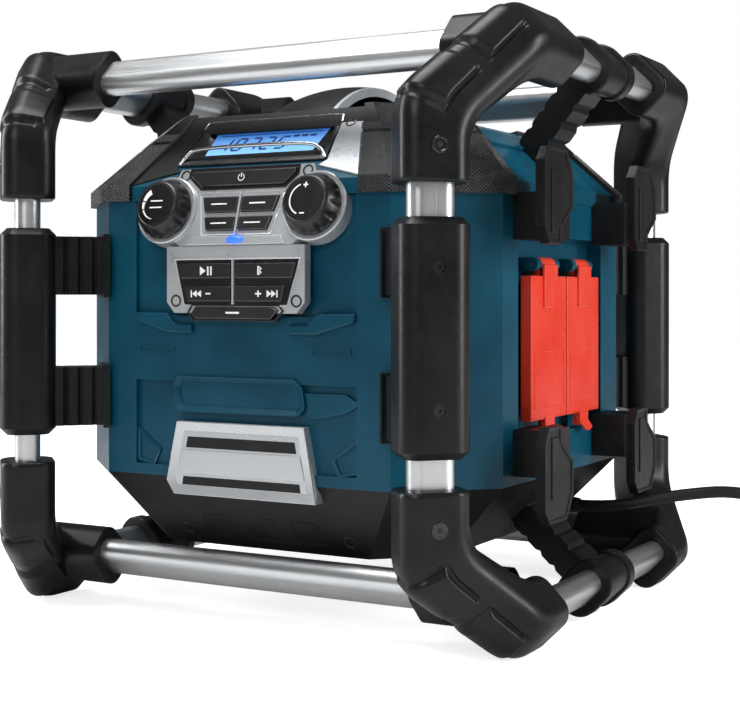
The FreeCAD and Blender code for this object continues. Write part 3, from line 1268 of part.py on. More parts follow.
# Where the cord's side leaves the ring, and the lengths of the two runs
reach_in = coil_outer + N.coil_pitch / 2 - N.cord_radius
lead_in = math.sqrt(ring_outer ** 2 - reach_in ** 2) + 1.0
tail_run = lead_in + N.cord_radius
start_way = coil_v
end_way = coil_v * -1
head_point = coil_entry - start_way * lead_in
tail_side = coil_centre - coil_u * (coil_outer + N.coil_pitch / 2) + Vector(0, 0, floor_rest + coil_rise)
tail_point = tail_side + end_way * tail_run
head_run = Part.makeCylinder(run_radius, lead_in, head_point, start_way)
last_run = Part.makeCylinder(run_radius, tail_run, tail_side, end_way)
keep(made(coil_ring.fuse([head_run, last_run]).removeSplitter()), "cord_coil")

# Free stretch of the cord, from the gland to the head of the coil
route_points = [cord_start] + [Vector(*point) for point in ROUTE]
route_points += [landing, head_point - start_way * N.fit_gap]
cord_path, cord_radii = arc_path(route_points)
cord_solid = pipe(cord_path, N.cord_radius)
print("cord length", round(cord_path.Length))
print("cord radii", [round(radius) for radius in cord_radii])
expected = math.pi * N.cord_radius ** 2 * cord_path.Length
print("cord volume share", round(cord_solid.Volume / expected, 4))
keep(made(cord_solid), "mains_cord")

plug_start = tail_point + end_way * N.fit_gap
plug_way = end_way
plug_side = Vector(0, 0, 1).cross(plug_way)
plug_up = Vector(0, 0, 1)


def plug_section(distance, wide, high, radius):
    """A rounded section across the plug."""
    return rounded_wire(plug_start + plug_way * distance, plug_side, plug_up, wide, high, radius)


neck = 2 * N.cord_radius + 2
plug_solid = Part.makeLoft([plug_section(0, neck, neck, 4), plug_section(16, neck + 2, neck + 2, 5),
                            plug_section(22, N.plug_wide - 6, N.plug_high - 4, 6),
                            plug_section(22 + N.plug_long * 0.5, N.plug_wide, N.plug_high, 6),
                            plug_section(22 + N.plug_long, N.plug_wide - 2, N.plug_high - 2, 5)], True, True)
plug_end = plug_start + plug_way * (22 + N.plug_long)
for sign in (-1, 1):
    centre = plug_end + plug_side * (sign * N.blade_gap / 2)
    blade = rounded_wire(centre - plug_way, plug_side, plug_up, N.blade_thick, N.blade_wide, 0.5)
    plug_solid = plug_solid.fuse(Part.Face(blade).extrude(plug_way * (N.blade_long + 1)))
earth_pin = Part.makeCylinder(2.4, N.blade_long + 4, plug_end - plug_way - plug_up * 7.0, plug_way)
plug_solid = plug_solid.fuse(earth_pin)
keep(made(plug_solid), "plug")

doc.recompute()
problems = []
for thing in doc.Objects:
    if "Invalid" in thing.State or "Error" in thing.State:
        problems.append("%s is in state %s" % (thing.Name, thing.State))
for part in PARTS:
    if part.Shape.isNull() or not part.Shape.isValid():
        problems.append("%s has no valid shape" % part.Label)
if problems:
    raise RuntimeError("; ".join(problems))

os.makedirs("parts", exist_ok=True)
for part in PARTS:
    part.Shape.exportStep("parts/%s.step" % part.Label)
print(len(PARTS), "parts written")
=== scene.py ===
import math
from itertools import product

import bpy
import numpy as np
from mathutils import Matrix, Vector


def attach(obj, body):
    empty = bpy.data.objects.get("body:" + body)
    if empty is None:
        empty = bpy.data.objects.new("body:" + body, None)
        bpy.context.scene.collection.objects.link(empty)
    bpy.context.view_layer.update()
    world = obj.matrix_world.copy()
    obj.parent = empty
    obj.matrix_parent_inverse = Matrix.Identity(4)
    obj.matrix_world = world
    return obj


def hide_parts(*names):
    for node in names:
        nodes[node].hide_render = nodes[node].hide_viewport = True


# Jobsite radio in a roll cage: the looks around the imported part. Metres, front towards -Y.

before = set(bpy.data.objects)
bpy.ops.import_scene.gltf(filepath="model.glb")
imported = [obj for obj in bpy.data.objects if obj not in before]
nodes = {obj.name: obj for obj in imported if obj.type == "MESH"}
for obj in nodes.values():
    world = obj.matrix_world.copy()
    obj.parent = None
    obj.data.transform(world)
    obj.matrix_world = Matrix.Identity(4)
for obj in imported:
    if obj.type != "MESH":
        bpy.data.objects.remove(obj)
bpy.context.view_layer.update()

MM = 0.001

# Camera at the photograph's angle: level, to the right of the front, with the horizon
# a little over the middle of the picture.
EYE = (0.6107, -1.0662, 0.2495)
YAW = math.radians(29.36)
SENSOR = 36
FOCAL_SHARE = 1.971
HORIZON_SHIFT = -0.08

# Frame of the leaning control panel
LEAN = math.radians(16)
PANEL_ORIGIN = np.array([0.0, -184.0, 284.5])
PANEL_UP = np.array([0.0, math.sin(LEAN), math.cos(LEAN)])
PANEL_OUT = np.array([0.0, -math.cos(LEAN), math.sin(LEAN)])
RIGHT = np.array([1.0, 0.0, 0.0])
UP = np.array([0.0, 0.0, 1.0])
FRONT = np.array([0.0, -1.0, 0.0])


def make_camera():
    """The camera, with the shift that the photograph's framing needs."""
    data = bpy.data.cameras.new("camera")
    data.sensor_width = SENSOR
    data.lens = SENSOR * FOCAL_SHARE
    data.shift_y = HORIZON_SHIFT
    data.clip_start = 0.01
    data.clip_end = 50
    camera = bpy.data.objects.new("camera", data)
    bpy.context.scene.collection.objects.link(camera)
    camera.location = EYE
    camera.rotation_euler = (math.pi / 2, 0, YAW)
    bpy.context.scene.camera = camera


make_camera()

# Mains cord: the route of the free stretch, then two layers of turns on the floor

CORD_RADIUS = 4.75
CORD_EXIT = (170.24, 70, 74)
ROUTE = [(200, 70, 74), (246, 80, 86), (298, 107, 91), (340, 140, 66), (372, 170, 26)]
LANDING = np.array([410.0, 200.0, CORD_RADIUS])
COIL_INNER = 45.0
COIL_PITCH = 10.2
COIL_TURNS = 2
RUN_IN = 45.0
COIL_RISE = 2 * CORD_RADIUS + 0.6
HEADING = math.radians(40)
LEAD_IN = 36.25
TAIL_RUN = LEAD_IN + CORD_RADIUS


def coil_turns():
    """Points of the coil: half turns whose centre steps from side to side, so each one
    joins the last; the first layer winds in and the second, one cord higher, winds out.
    Also the heading at its end."""
    way = np.array([math.cos(HEADING), math.sin(HEADING), 0.0])
    side = np.array([way[1], -way[0], 0.0])
    outer = COIL_INNER + COIL_PITCH * (COIL_TURNS - 0.5)
    centre = LANDING + way * (RUN_IN + 2 * CORD_RADIUS) - side * outer
    step = COIL_PITCH / 2
    halves = 2 * COIL_TURNS
    inward = [outer - step * k for k in range(halves)]
    outward = [inward[-1] + step * (k + 1) for k in range(halves - 1)]
    layers = [(r, 0.0, 0.0) for r in inward[:-1]] + [(inward[-1], 0.0, COIL_RISE)]
    layers += [(r, COIL_RISE, COIL_RISE) for r in outward]
    place = outer
    sign = 1.0
    points = []
    pieces = 6
    # Control points stand this much outside the circle, so that the curve touches it
    swell = 1 / math.cos(math.pi / pieces / 2)
    for radius, low, high in layers:
        middle = place - sign * radius
        reach = sign * radius * swell
        for k in range(pieces):
            turn = math.pi * (k + 0.5) / pieces
            share = (k + 0.5) / pieces
            ease = share - math.sin(2 * math.pi * share) / (2 * math.pi)
            across = side * (middle + reach * math.cos(turn))
            forward = way * (reach * math.sin(turn))
            points.append(centre + across + forward + UP * ((high - low) * ease + low))
        place = middle - sign * radius
        sign = -sign
    last = centre + side * place + UP * COIL_RISE
    return points, last, way * sign


def make_cord():
    """The whole mains cord as one NURBS curve with a round bevel."""
    turns, last, way = coil_turns()
    route = [np.array(CORD_EXIT)] + [np.array(p, float) for p in ROUTE] + [LANDING]
    route += turns + [last + way * 2, last + way * TAIL_RUN]
    points = np.array(route) * MM
    data = bpy.data.curves.new("power_cord", "CURVE")
    data.dimensions = "3D"
    spline = data.splines.new("NURBS")
    spline.points.add(len(points) - 1)
    weighted = np.column_stack([points, np.ones(len(points))])
    spline.points.foreach_set("co", weighted.astype(np.float32).ravel())
    spline.order_u = 3
    spline.use_endpoint_u = True
    spline.resolution_u = 8
    # Each point holds the cord's radius, which keeps the curve's bounds as close as the cord's
    spline.points.foreach_set("radius", np.full(len(points), CORD_RADIUS * MM, dtype=np.float32))
    data.bevel_depth = 1.0
    data.bevel_resolution = 6
    data.use_fill_caps = True
    cord = bpy.data.objects.new("power_cord", data)
    bpy.context.scene.collection.objects.link(cord)
    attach(cord, "frame")
    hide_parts("mains_cord", "cord_coil")
    return cord


def centreline_length(cord):
    """Length of the curve's own line, in metres."""
    plain = cord.data.copy()
    plain.bevel_depth = 0
    probe = bpy.data.objects.new("probe", plain)
    mesh = bpy.data.meshes.new_from_object(probe)
    line = np.zeros(len(mesh.vertices) * 3)
    mesh.vertices.foreach_get("co", line)
    bpy.data.objects.remove(probe)
    return float(np.linalg.norm(np.diff(line.reshape(-1, 3), axis=0), axis=1).sum())


cord = make_cord()
round(centreline_length(cord), 3)


# Materials

# Places of the colour sockets in a mix node
COLOUR_A, COLOUR_B, COLOUR_MIXED = 6, 7, 2


class Recipe:
    """A material's node tree with short ways to add to it."""

    def __init__(self, name):
        self.material = bpy.data.materials.new(name)
        self.material.use_nodes = True
        self.tree = self.material.node_tree
        self.shader = self.tree.nodes["Principled BSDF"]

    def add(self, kind, **values):
        """A node with its inputs set by name, or linked where a value is a socket."""
        node = self.tree.nodes.new(kind)
        for key, value in values.items():
            name = key.replace("_", " ")
            if name in node.inputs:
                self.join(value, node.inputs[name])
            else:
                setattr(node, key, value)
        return node

    def join(self, value, socket):
        """Links a socket to an input, or sets the input's value."""
        if isinstance(value, bpy.types.NodeSocket):
            self.tree.links.new(value, socket)
        else:
            socket.default_value = value

    def set(self, **values):
        """Sets or links the shader's own inputs."""
        for key, value in values.items():
            self.join(value, self.shader.inputs[key.replace("_", " ")])

    def place(self, scale=(1, 1, 1)):
        """Object coordinates, scaled."""
        where = self.add("ShaderNodeTexCoord")
        mapping = self.add("ShaderNodeMapping", Vector=where.outputs["Object"], Scale=scale)
        return mapping.outputs["Vector"]

    def noise(self, where, scale, detail=4.0, roughness=0.55):
        """Smooth noise at a scale."""
        node = self.add("ShaderNodeTexNoise", Vector=where, Scale=scale, Detail=detail, Roughness=roughness)
        return node.outputs["Fac"]

    def spread(self, value, low, high, first=0.3, last=0.7):
        """A value moved from one range to another."""
        node = self.add("ShaderNodeMapRange", Value=value, From_Min=first, From_Max=last,
                        To_Min=low, To_Max=high)
        return node.outputs["Result"]

    def blend(self, share, first, second):
        """A mix of two colours."""
        node = self.add("ShaderNodeMix", data_type="RGBA")
        self.join(share, node.inputs["Factor"])
        self.join(first, node.inputs[COLOUR_A])
        self.join(second, node.inputs[COLOUR_B])
        return node.outputs[COLOUR_MIXED]

    def bump(self, height, strength, distance, under=None):
        """A bump from a height, over another bump where one is given."""
        node = self.add("ShaderNodeBump", Height=height, Strength=strength, Distance=distance)
        if under is not None:
            self.join(under, node.inputs["Normal"])
        return node.outputs["Normal"]

    def edges(self, radius=0.0015):
        """How close a point is to an edge, as the mask of a painted highlight along edges: the
        difference between a rounded normal and the plain one."""
        bevel = self.add("ShaderNodeBevel", Radius=radius, samples=4)
        plain = self.add("ShaderNodeNewGeometry")
        product = self.add("ShaderNodeVectorMath", operation="DOT_PRODUCT")
        self.join(bevel.outputs["Normal"], product.inputs[0])
        self.join(plain.outputs["Normal"], product.inputs[1])
        return self.spread(product.outputs["Value"], 1.0, 0.0, 0.75, 0.99)


def rgb(red, green, blue):
    """A colour from the display values 0 to 255."""
    def linear(value):
        share = value / 255
        return share / 12.92 if share <= 0.04045 else ((share + 0.055) / 1.055) ** 2.4
    return (linear(red), linear(green), linear(blue), 1.0)


def toned(colour, factor, plus=0.0):
    """A colour multiplied and raised, held to 1."""
    return tuple(min(c * factor + plus, 1) for c in colour[:3]) + (1.0,)


def moulded(name, colour, light, rough, grain=1400.0, grain_depth=0.00006):
    """Moulded plastic or rubber: fine spark-eroded grain, faint clouding, edges painted paler as a highlight.
    """
    m = Recipe(name)
    where = m.place()
    cloud = m.noise(where, 22.0, 3.0)
    fine = m.noise(where, grain, 2.0, 0.6)
    dust_and_highlight_patches = m.noise(where, 160.0, 5.0, 0.7)
    shade = m.blend(m.spread(cloud, 0.0, 0.2), colour, light)
    # Painted highlight: edges blend towards the pale tone, in patches of the noise that also varies the
    # roughness
    edge_highlight = m.add("ShaderNodeMath", operation="MULTIPLY")
    m.join(m.edges(), edge_highlight.inputs[0])
    m.join(m.spread(dust_and_highlight_patches, 0.05, 0.5), edge_highlight.inputs[1])
    shade = m.blend(edge_highlight.outputs[0], shade, light)
    m.set(Base_Color=shade, Roughness=m.spread(dust_and_highlight_patches, rough - 0.05, rough + 0.07),
          Normal=m.bump(fine, 0.35, grain_depth), Specular_IOR_Level=0.24)
    return m.material


def aluminium(name, colour, rough, along):
    """Drawn aluminium: long fine lines along the tube, slight haze and handling marks."""
    m = Recipe(name)
    squeeze = [1400.0, 1400.0, 1400.0]
    squeeze[along] = 14.0
    lines = m.noise(m.place(scale=tuple(squeeze)), 1.0, 3.0, 0.7)
    haze = m.noise(m.place(), 30.0, 4.0)
    tone = m.blend(m.spread(haze, 0.0, 0.35), colour, toned(colour, 0.82))
    m.set(Base_Color=tone, Metallic=1.0, Roughness=m.spread(lines, rough - 0.06, rough + 0.08),
          Normal=m.bump(lines, 0.10, 0.00003))
    return m.material


def painted_silver(name, colour, rough):
    """Silver paint over plastic: fine metallic flake with a soft clear coat."""
    m = Recipe(name)
    where = m.place()
    flake = m.add("ShaderNodeTexVoronoi", Vector=where, Scale=2600.0)
    sparkle = m.spread(flake.outputs["Distance"], 0.0, 0.22, 0.2, 0.8)
    shade = m.blend(sparkle, colour, toned(colour, 0.74))
    haze = m.noise(where, 60.0, 3.0)
    m.set(Base_Color=shade, Metallic=0.5, Roughness=m.spread(haze, rough - 0.04, rough + 0.05),
          Normal=m.bump(m.noise(where, 900.0, 2.0), 0.06, 0.00003),
          Coat_Weight=0.35, Coat_Roughness=0.18)
    return m.material


def polished(name, colour, rough):
    """Plated or polished steel with faint smears."""
    m = Recipe(name)
    smear = m.noise(m.place(), 120.0, 4.0)
    m.set(Base_Color=colour, Metallic=1.0, Roughness=m.spread(smear, rough - 0.03, rough + 0.06))
    return m.material


def gloss(name, colour, rough, coat=0.6):
    """Smooth moulded plastic with a clear surface, faint handling marks and edges painted brighter as a
    highlight.
    """
    m = Recipe(name)
    smear = m.noise(m.place(), 45.0, 5.0, 0.6)
    tone = m.blend(m.spread(smear, 0.0, 0.3), colour, toned(colour, 1.25, 0.002))
    # Painted highlight: edges are brightened
    edge_highlight = m.blend(m.edges(0.0008), tone, toned(colour, 1.5, 0.01))
    m.set(Base_Color=edge_highlight, Roughness=m.spread(smear, rough - 0.04, rough + 0.06),
          Coat_Weight=coat, Coat_Roughness=0.12)
    return m.material


def glowing(name, colour, strength):
    """A lit lens: a diffuse colour with its own light."""
    m = Recipe(name)
    glow = m.noise(m.place(), 90.0, 2.0)
    tone = m.blend(m.spread(glow, 0.0, 0.4), colour, toned(colour, 1.3))
    m.set(Base_Color=tone, Emission_Color=tone, Roughness=0.25, Emission_Strength=strength)
    return m.material


def backlit(name, low_colour, high_colour, low, high, strength):
    """A lit screen whose colour runs from one height to another."""
    m = Recipe(name)
    where = m.add("ShaderNodeSeparateXYZ", Vector=m.place())
    share = m.spread(where.outputs["Z"], 0.0, 1.0, low, high)
    tone = m.blend(share, low_colour, high_colour)
    m.set(Base_Color=tone, Emission_Color=tone, Roughness=0.12, Emission_Strength=strength)
    return m.material


# The second, pale tone of each moulded finish tints the faint clouding and is the painted highlight along
# edges
TEAL = rgb(0, 58, 77)
TEAL_LIGHT = rgb(34, 108, 134)
BLACK = rgb(8, 8, 9)
BLACK_LIGHT = rgb(58, 59, 62)
LOOKS = {
    "tube_x": aluminium("aluminium_cross", rgb(214, 216, 218), 0.34, 0),
    "tube_y": aluminium("aluminium_side", rgb(214, 216, 218), 0.34, 1),
    "tube_z": aluminium("aluminium_post", rgb(214, 216, 218), 0.34, 2),
    "rubber": moulded("cage_rubber", rgb(7, 7, 8), rgb(56, 57, 60), 0.33, 1500.0, 0.00005),
    "teal": moulded("shell_teal", TEAL, TEAL_LIGHT, 0.34, 1900.0, 0.00004),
    "black": moulded("shell_black", BLACK, BLACK_LIGHT, 0.42, 1700.0, 0.00005),
    "silver": painted_silver("panel_silver", rgb(196, 199, 202), 0.3),
    "key": gloss("key_plastic", rgb(24, 24, 26), 0.34),
    "gloss_black": gloss("gloss_black", rgb(9, 9, 10), 0.28, 0.5),
    "knob": gloss("knob_black", rgb(9, 9, 10), 0.4, 0.1),
    "steel": polished("screw_steel", rgb(170, 172, 175), 0.22),
    "red": moulded("cover_red", rgb(204, 44, 26), rgb(240, 118, 96), 0.3, 1800.0, 0.00004),
    "lcd": backlit("screen_blue", rgb(140, 200, 245), rgb(28, 98, 196), 0.3540, 0.3748, 0.6),
    "lamp": glowing("lamp_blue", rgb(30, 70, 255), 3.0),
    "cord": moulded("cord_rubber", rgb(16, 16, 17), rgb(50, 50, 52), 0.42, 900.0, 0.00006),
    "white": gloss("mark_white", rgb(225, 227, 228), 0.5, 0.0),
    "board": gloss("board_green", rgb(20, 90, 50), 0.4, 0.3),
    "inner": moulded("inner_grey", rgb(46, 46, 48), rgb(90, 90, 92), 0.55),
    "chrome": polished("bright_chrome", rgb(205, 208, 212), 0.12),
    "weave": moulded("grille_weave", rgb(26, 26, 27), rgb(120, 120, 122), 0.32, 900.0),
    # Near-black painted shade for the slots and sockets, also the colour of the sunk screws
    "painted_shade_and_screws": gloss("painted_shade_and_screws_black", rgb(6, 6, 6), 0.7, 0.0),
    "lcd_dark": gloss("screen_figures", rgb(16, 52, 130), 0.5, 0.0),
}
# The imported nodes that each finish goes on
FINISHES = {
    "tube_x": ["cross_rails"],
    "tube_y": ["side_rails"],
    "tube_z": ["posts"],
    "rubber": [node for node in nodes if node.startswith(("elbow_", "sleeve_", "clamp_"))],
    "teal": ["front_housing", "rear_housing", "roof_cover"],
    "black": ["base_cover", "corner_grilles", "display_bezel", "cord_cleats", "bay_lid"],
    "inner": ["corner_speakers", "subwoofer", "power_supply", "outlets"],
    "silver": ["control_panel", "key_panel", "port_plate", "lid_trim"],
    "key": ["power_key", "key_upper_left", "key_upper_right", "key_lower_left", "key_lower_right",
            "play_key", "pairing_key", "seek_down_key", "seek_up_key", "source_key"],
    "steel": ["hinge_pins", "display_guard"],
    "gloss_black": ["cage_screws", "volume_knob", "tuning_knob"],
    "lcd": ["display_screen"],
    "lamp": ["status_lamp"],
    "board": ["control_board"],
    "red": ["outlet_cover_front", "outlet_cover_rear"],
    "cord": ["cord_gland", "plug"],
}
for look, names in FINISHES.items():
    for node in names:
        finish = nodes[node].data.materials
        finish.clear()
        finish.append(LOOKS[look])
cord.data.materials.append(LOOKS["cord"])


# Shapes worked out as whole arrays

# A bevel rounds the edges that are sharper than this many degrees
BEVEL_FROM = 25


class Plane:
    """A flat frame of reference: an origin and the ways right, up and out, in millimetres."""

    def __init__(self, origin, right, up, out):
        self.origin = np.array(origin, float)
        self.axes = np.array([right, up, out], float)

    def at(self, points):
        """Points (right, up, out) of the plane as places in the object's frame."""
        return self.origin + np.atleast_2d(np.array(points, float)) @ self.axes

    def outward(self, faces):
        """The faces, turned where right, up and out are left-handed."""
        return reverse(faces) if np.linalg.det(self.axes) < 0 else faces


def reverse(faces):
    """The faces with their corners in the other order."""
    return [face[::-1] for face in faces]


def add_mesh(name, points, faces, look, body, smooth_to=35, bevel=0.0, segments=3):
    """A piece from points in millimetres and faces, with its finish and body; edges sharper
    than an angle stay sharp, and a bevel rounds them where one is given."""
    mesh = bpy.data.meshes.new(name)
    mesh.from_pydata((np.asarray(points) * MM).tolist(), [], faces)
    mesh.update()
    mesh.polygons.foreach_set("use_smooth", np.ones(len(mesh.polygons), dtype=bool))
    piece = bpy.data.objects.new(name, mesh)
    bpy.context.scene.collection.objects.link(piece)
    mesh.materials.append(LOOKS[look])
    if bevel:
        edge = piece.modifiers.new("edge", "BEVEL")
        edge.width = bevel * MM
        edge.segments = segments
        edge.limit_method = "ANGLE"
        edge.angle_limit = math.radians(BEVEL_FROM)
        edge.harden_normals = True
    else:
        mesh.set_sharp_from_angle(angle=math.radians(smooth_to))
    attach(piece, body)
    return piece


def ring_faces(rings, around, closed_around=True, closed_along=False):
    """Four-sided faces between rings of points laid out one after another."""
    steps = around if closed_around else around - 1
    rows = rings if closed_along else rings - 1
    i, j = np.meshgrid(np.arange(rows), np.arange(steps), indexing="ij")
    i2 = (i + 1) % rings
    j2 = (j + 1) % around
    quads = np.stack([i * around + j, i * around + j2, i2 * around + j2, i2 * around + j], axis=-1)
    return quads.reshape(-1, 4).tolist()


def closed_faces(rings, around):
    """Faces between rings, and one across each end."""
    ends = [list(range(around))[::-1], list(range((rings - 1) * around, rings * around))]
    return ring_faces(rings, around) + ends


def full_turn(count):
    """Angles of a whole turn in equal steps."""
    return np.linspace(0, 2 * math.pi, count, endpoint=False)


def unit(vectors):
    """Vectors brought to the length 1."""
    return vectors / np.linalg.norm(vectors, axis=-1, keepdims=True)


def toward(first, last, share):
    """The point at a share of the way between two others."""
    return first + (last - first) * share


def box(left, right, first, last):
    """The corners of a rectangle between two sides and two heights."""
    return [(left, first), (right, first), (right, last), (left, last)]


def mirrored(outline, sx):
    """An outline as it is for 1, or mirrored left to right for -1."""
    return [(sx * x, up) for x, up in outline]


def at_depth(flat, depth):
    """Flat points (right, up) with one distance out."""
    return np.column_stack([flat, np.full(len(flat), depth)])


def double_area(flat):
    """Twice an outline's area, above 0 where it runs anticlockwise: the sum of the cross
    products of neighbouring points."""
    after = np.roll(flat, -1, axis=0)
    return np.sum(flat[:, 0] * after[:, 1] - after[:, 0] * flat[:, 1])


def anticlockwise(outline):
    """An outline's points as an array, in anticlockwise order."""
    flat = np.array(outline, float)
    return flat[::-1] if double_area(flat) < 0 else flat


def slab(name, plane, outline, low, high, look, body="frame", bevel=0.5, segments=3):
    """A flat outline given thickness: the same polygon at two depths, with sides between."""
    flat = anticlockwise(outline)
    points = plane.at(np.concatenate([at_depth(flat, low), at_depth(flat, high)]))
    faces = plane.outward(closed_faces(2, len(flat)))
    return add_mesh(name, points, faces, look, body, bevel=bevel, segments=segments)


def inset(outline, amount):
    """An outline with every side moved inwards by an amount: neighbouring sides meet again."""
    flat = np.array(outline, float)
    way = unit(np.roll(flat, -1, axis=0) - flat)
    normal = np.column_stack([-way[:, 1], way[:, 0]]) * np.sign(double_area(flat))
    offset = np.sum(normal * flat, axis=1) + amount
    before = np.roll(normal, 1, axis=0)
    before_offset = np.roll(offset, 1)
    det = before[:, 0] * normal[:, 1] - before[:, 1] * normal[:, 0]
    x = (before_offset * normal[:, 1] - offset * before[:, 1]) / det
    y = (before[:, 0] * offset - normal[:, 0] * before_offset) / det
    return np.column_stack([x, y])


def frame_ring(name, plane, outline, wide, low, high, look, body="frame", slope=0.0, bevel=0.3):
    """A raised border that follows an outline: outer and inner edges at two depths, and a
    top that falls by the slope towards the inside."""
    outer = anticlockwise(outline)
    inner = inset(outer, wide)
    rings = [at_depth(outer, low), at_depth(outer, high), at_depth(inner, high - slope), at_depth(inner, low)]
    faces = plane.outward(ring_faces(4, len(outer), closed_along=True))
    return add_mesh(name, plane.at(np.concatenate(rings)), faces, look, body, bevel=bevel, segments=2)


def turned_shape(name, plane, centre, profile, look, body="frame", around=64, smooth_to=30, ripple=None):
    """A profile of (radius, height) turned about the plane's outward axis; ripple gives the
    radius a share that changes with the angle and the height."""
    turn = full_turn(around)
    radius, height = np.array(profile, float).T[:, :, None] * np.ones(around)
    if ripple is not None:
        radius = radius * ripple(turn, height)
    places = np.stack([centre[0] + radius * np.cos(turn), centre[1] + radius * np.sin(turn), height], axis=-1)
    faces = plane.outward(closed_faces(len(profile), around))
    return add_mesh(name, plane.at(places.reshape(-1, 3)), faces, look, body, smooth_to=smooth_to)


def arc_mark(name, centre, inner, outer, first, last, height, body, steps=24):
    """A flat white mark on the panel between two radii and two angles in degrees; each
    radius may run from one value to another."""
    turn = np.radians(np.linspace(first, last, steps))
    rows = []
    for start, stop in (inner, outer):
        radius = np.linspace(start, stop, steps)
        flat = np.column_stack([centre[0] + radius * np.cos(turn), centre[1] + radius * np.sin(turn)])
        rows.append(at_depth(flat, height))
    faces = PANEL.outward(ring_faces(2, steps, closed_around=False))
    if last > first:
        faces = reverse(faces)
    return add_mesh(name, PANEL.at(np.concatenate(rows)), faces, "white", body)


def wire(name, path, rounds, radius=1.5, around=12):
    """A bright round wire along a path whose corners are rounded by Chaikin's rule, cutting
    each side at a share and at its mirror, three times."""
    line = np.array(path, float)
    for _ in range(3):
        cuts = [toward(line[:-1], line[1:], rounds), toward(line[1:], line[:-1], rounds)]
        middle = np.stack(cuts, axis=1).reshape(-1, 3)
        line = np.concatenate([line[:1], middle[1:-1], line[-1:]])
    way = unit(np.gradient(line, axis=0))
    helper = unit(np.cross(way, UP))
    other = np.cross(helper, way)
    turn = full_turn(around)[:, None]
    points = line[:, None] + radius * (np.cos(turn) * helper[:, None] + np.sin(turn) * other[:, None])
    faces = closed_faces(len(line), around)
    return add_mesh(name, points.reshape(-1, 3), faces, "chrome", "frame", smooth_to=60)


def front_plane(out):
    """An upright plane that looks forward, this far in front of the middle."""
    return Plane(FRONT * out, RIGHT, UP, FRONT)


def side_plane(out):
    """An upright plane that looks right, this far to the right of the middle."""
    return Plane(RIGHT * out, -FRONT, UP, RIGHT)


PANEL = Plane(PANEL_ORIGIN, RIGHT, PANEL_UP, PANEL_OUT)
KEY_PLATE = front_plane(184.0)
PORT = front_plane(176.0)
HOUSING = front_plane(174.0)
COVER = side_plane(189.0)
CLEAT = side_plane(218.0)
SIDES = (("left", -1), ("right", 1))
ENDS = (("front", -1), ("rear", 1))
LEVELS = (("top", 1), ("bottom", -1))

# Roof slopes

EAVE_Z, TIER_Z, TOP_Z = 331.0, 372.0, 387.5
# Half sizes of the roof's octagon at each height: width, depth, front edge, side edge
EAVE_HALF = (186.5, 175.5, 125.0, 117.0)
TIER_HALF = (146.0, 136.0, 97.0, 89.5)
TOP_HALF = (98.0, 124.0, 84.0, 110.7)
DISPLAY_Z = 346.0


def slope_plane(foot, head):
    """The frame of a slope whose foot and head are given across it; right is across."""
    foot = np.array(foot, float)
    up = unit(np.array(head, float) - foot)
    across = RIGHT if abs(up[1]) > 1e-6 else -FRONT
    out = np.cross(across, up)
    if out[2] < 0:
        out = -out
    return Plane(foot, across, up, out)


DISPLAY_IN = (EAVE_HALF[1] - TIER_HALF[1]) * (DISPLAY_Z - EAVE_Z) / (TIER_Z - EAVE_Z)
DISPLAY = slope_plane((0, DISPLAY_IN - EAVE_HALF[1], DISPLAY_Z), (0, -TIER_HALF[1], TIER_Z))


# Control panel and its keys

POWER_KEY = [(-48, 58.5), (45, 58.5), (45, 54.5), (36, 46), (-37, 46), (-48, 55)]
PANEL_KEYS = {
    "key_upper_left": [(-34, 37.5), (-1.6, 37.5), (-1.6, 25.5), (-30.5, 25.5)],
    "key_upper_right": [(1.6, 37.5), (34, 37.5), (30.5, 25.5), (1.6, 25.5)],
    "key_lower_left": [(-30, 21.8), (-1.6, 21.8), (-1.6, 11.3), (-27, 11.3)],
    "key_lower_right": [(1.6, 21.8), (30, 21.8), (27, 11.3), (1.6, 11.3)],
}
FRONT_KEYS = {
    "play_key": [(-49.5, 271.2), (-2.2, 271.2), (-2.2, 260), (-47, 260)],
    "pairing_key": [(2.2, 271.2), (54, 271.2), (51, 260), (2.2, 260)],
    "seek_down_key": [(-43, 254.6), (-2.2, 254.6), (-2.2, 243), (-41, 243)],
    "seek_up_key": [(2.2, 254.6), (45, 254.6), (42, 243), (2.2, 243)],
    "source_key": [(-34, 239.2), (34, 239.2), (39, 236.6), (33, 230.2), (-34, 230.2), (-38, 234)],
}
KEY_PROUD = 2.0
KEY_BACK = 8.5
FRONT_KEY_BACK = 7.5


def make_keys():
    """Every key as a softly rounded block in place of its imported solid."""
    caps = [(name, PANEL, outline, KEY_BACK, 1.0) for name, outline in PANEL_KEYS.items()]
    caps.append(("power_key", PANEL, POWER_KEY, KEY_BACK, 1.6))
    caps += [(name, KEY_PLATE, outline, FRONT_KEY_BACK, 1.0) for name, outline in FRONT_KEYS.items()]
    for name, plane, outline, back, bevel in caps:
        key = slab(name + "_cap", plane, outline, -back, KEY_PROUD, "key", name, bevel, 4)
        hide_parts(name)


def mark(name, plane, outline, height, body):
    """A thin printed sign."""
    slab(name, plane, outline, height - 0.05, height + 0.12, "white", body, 0.0)


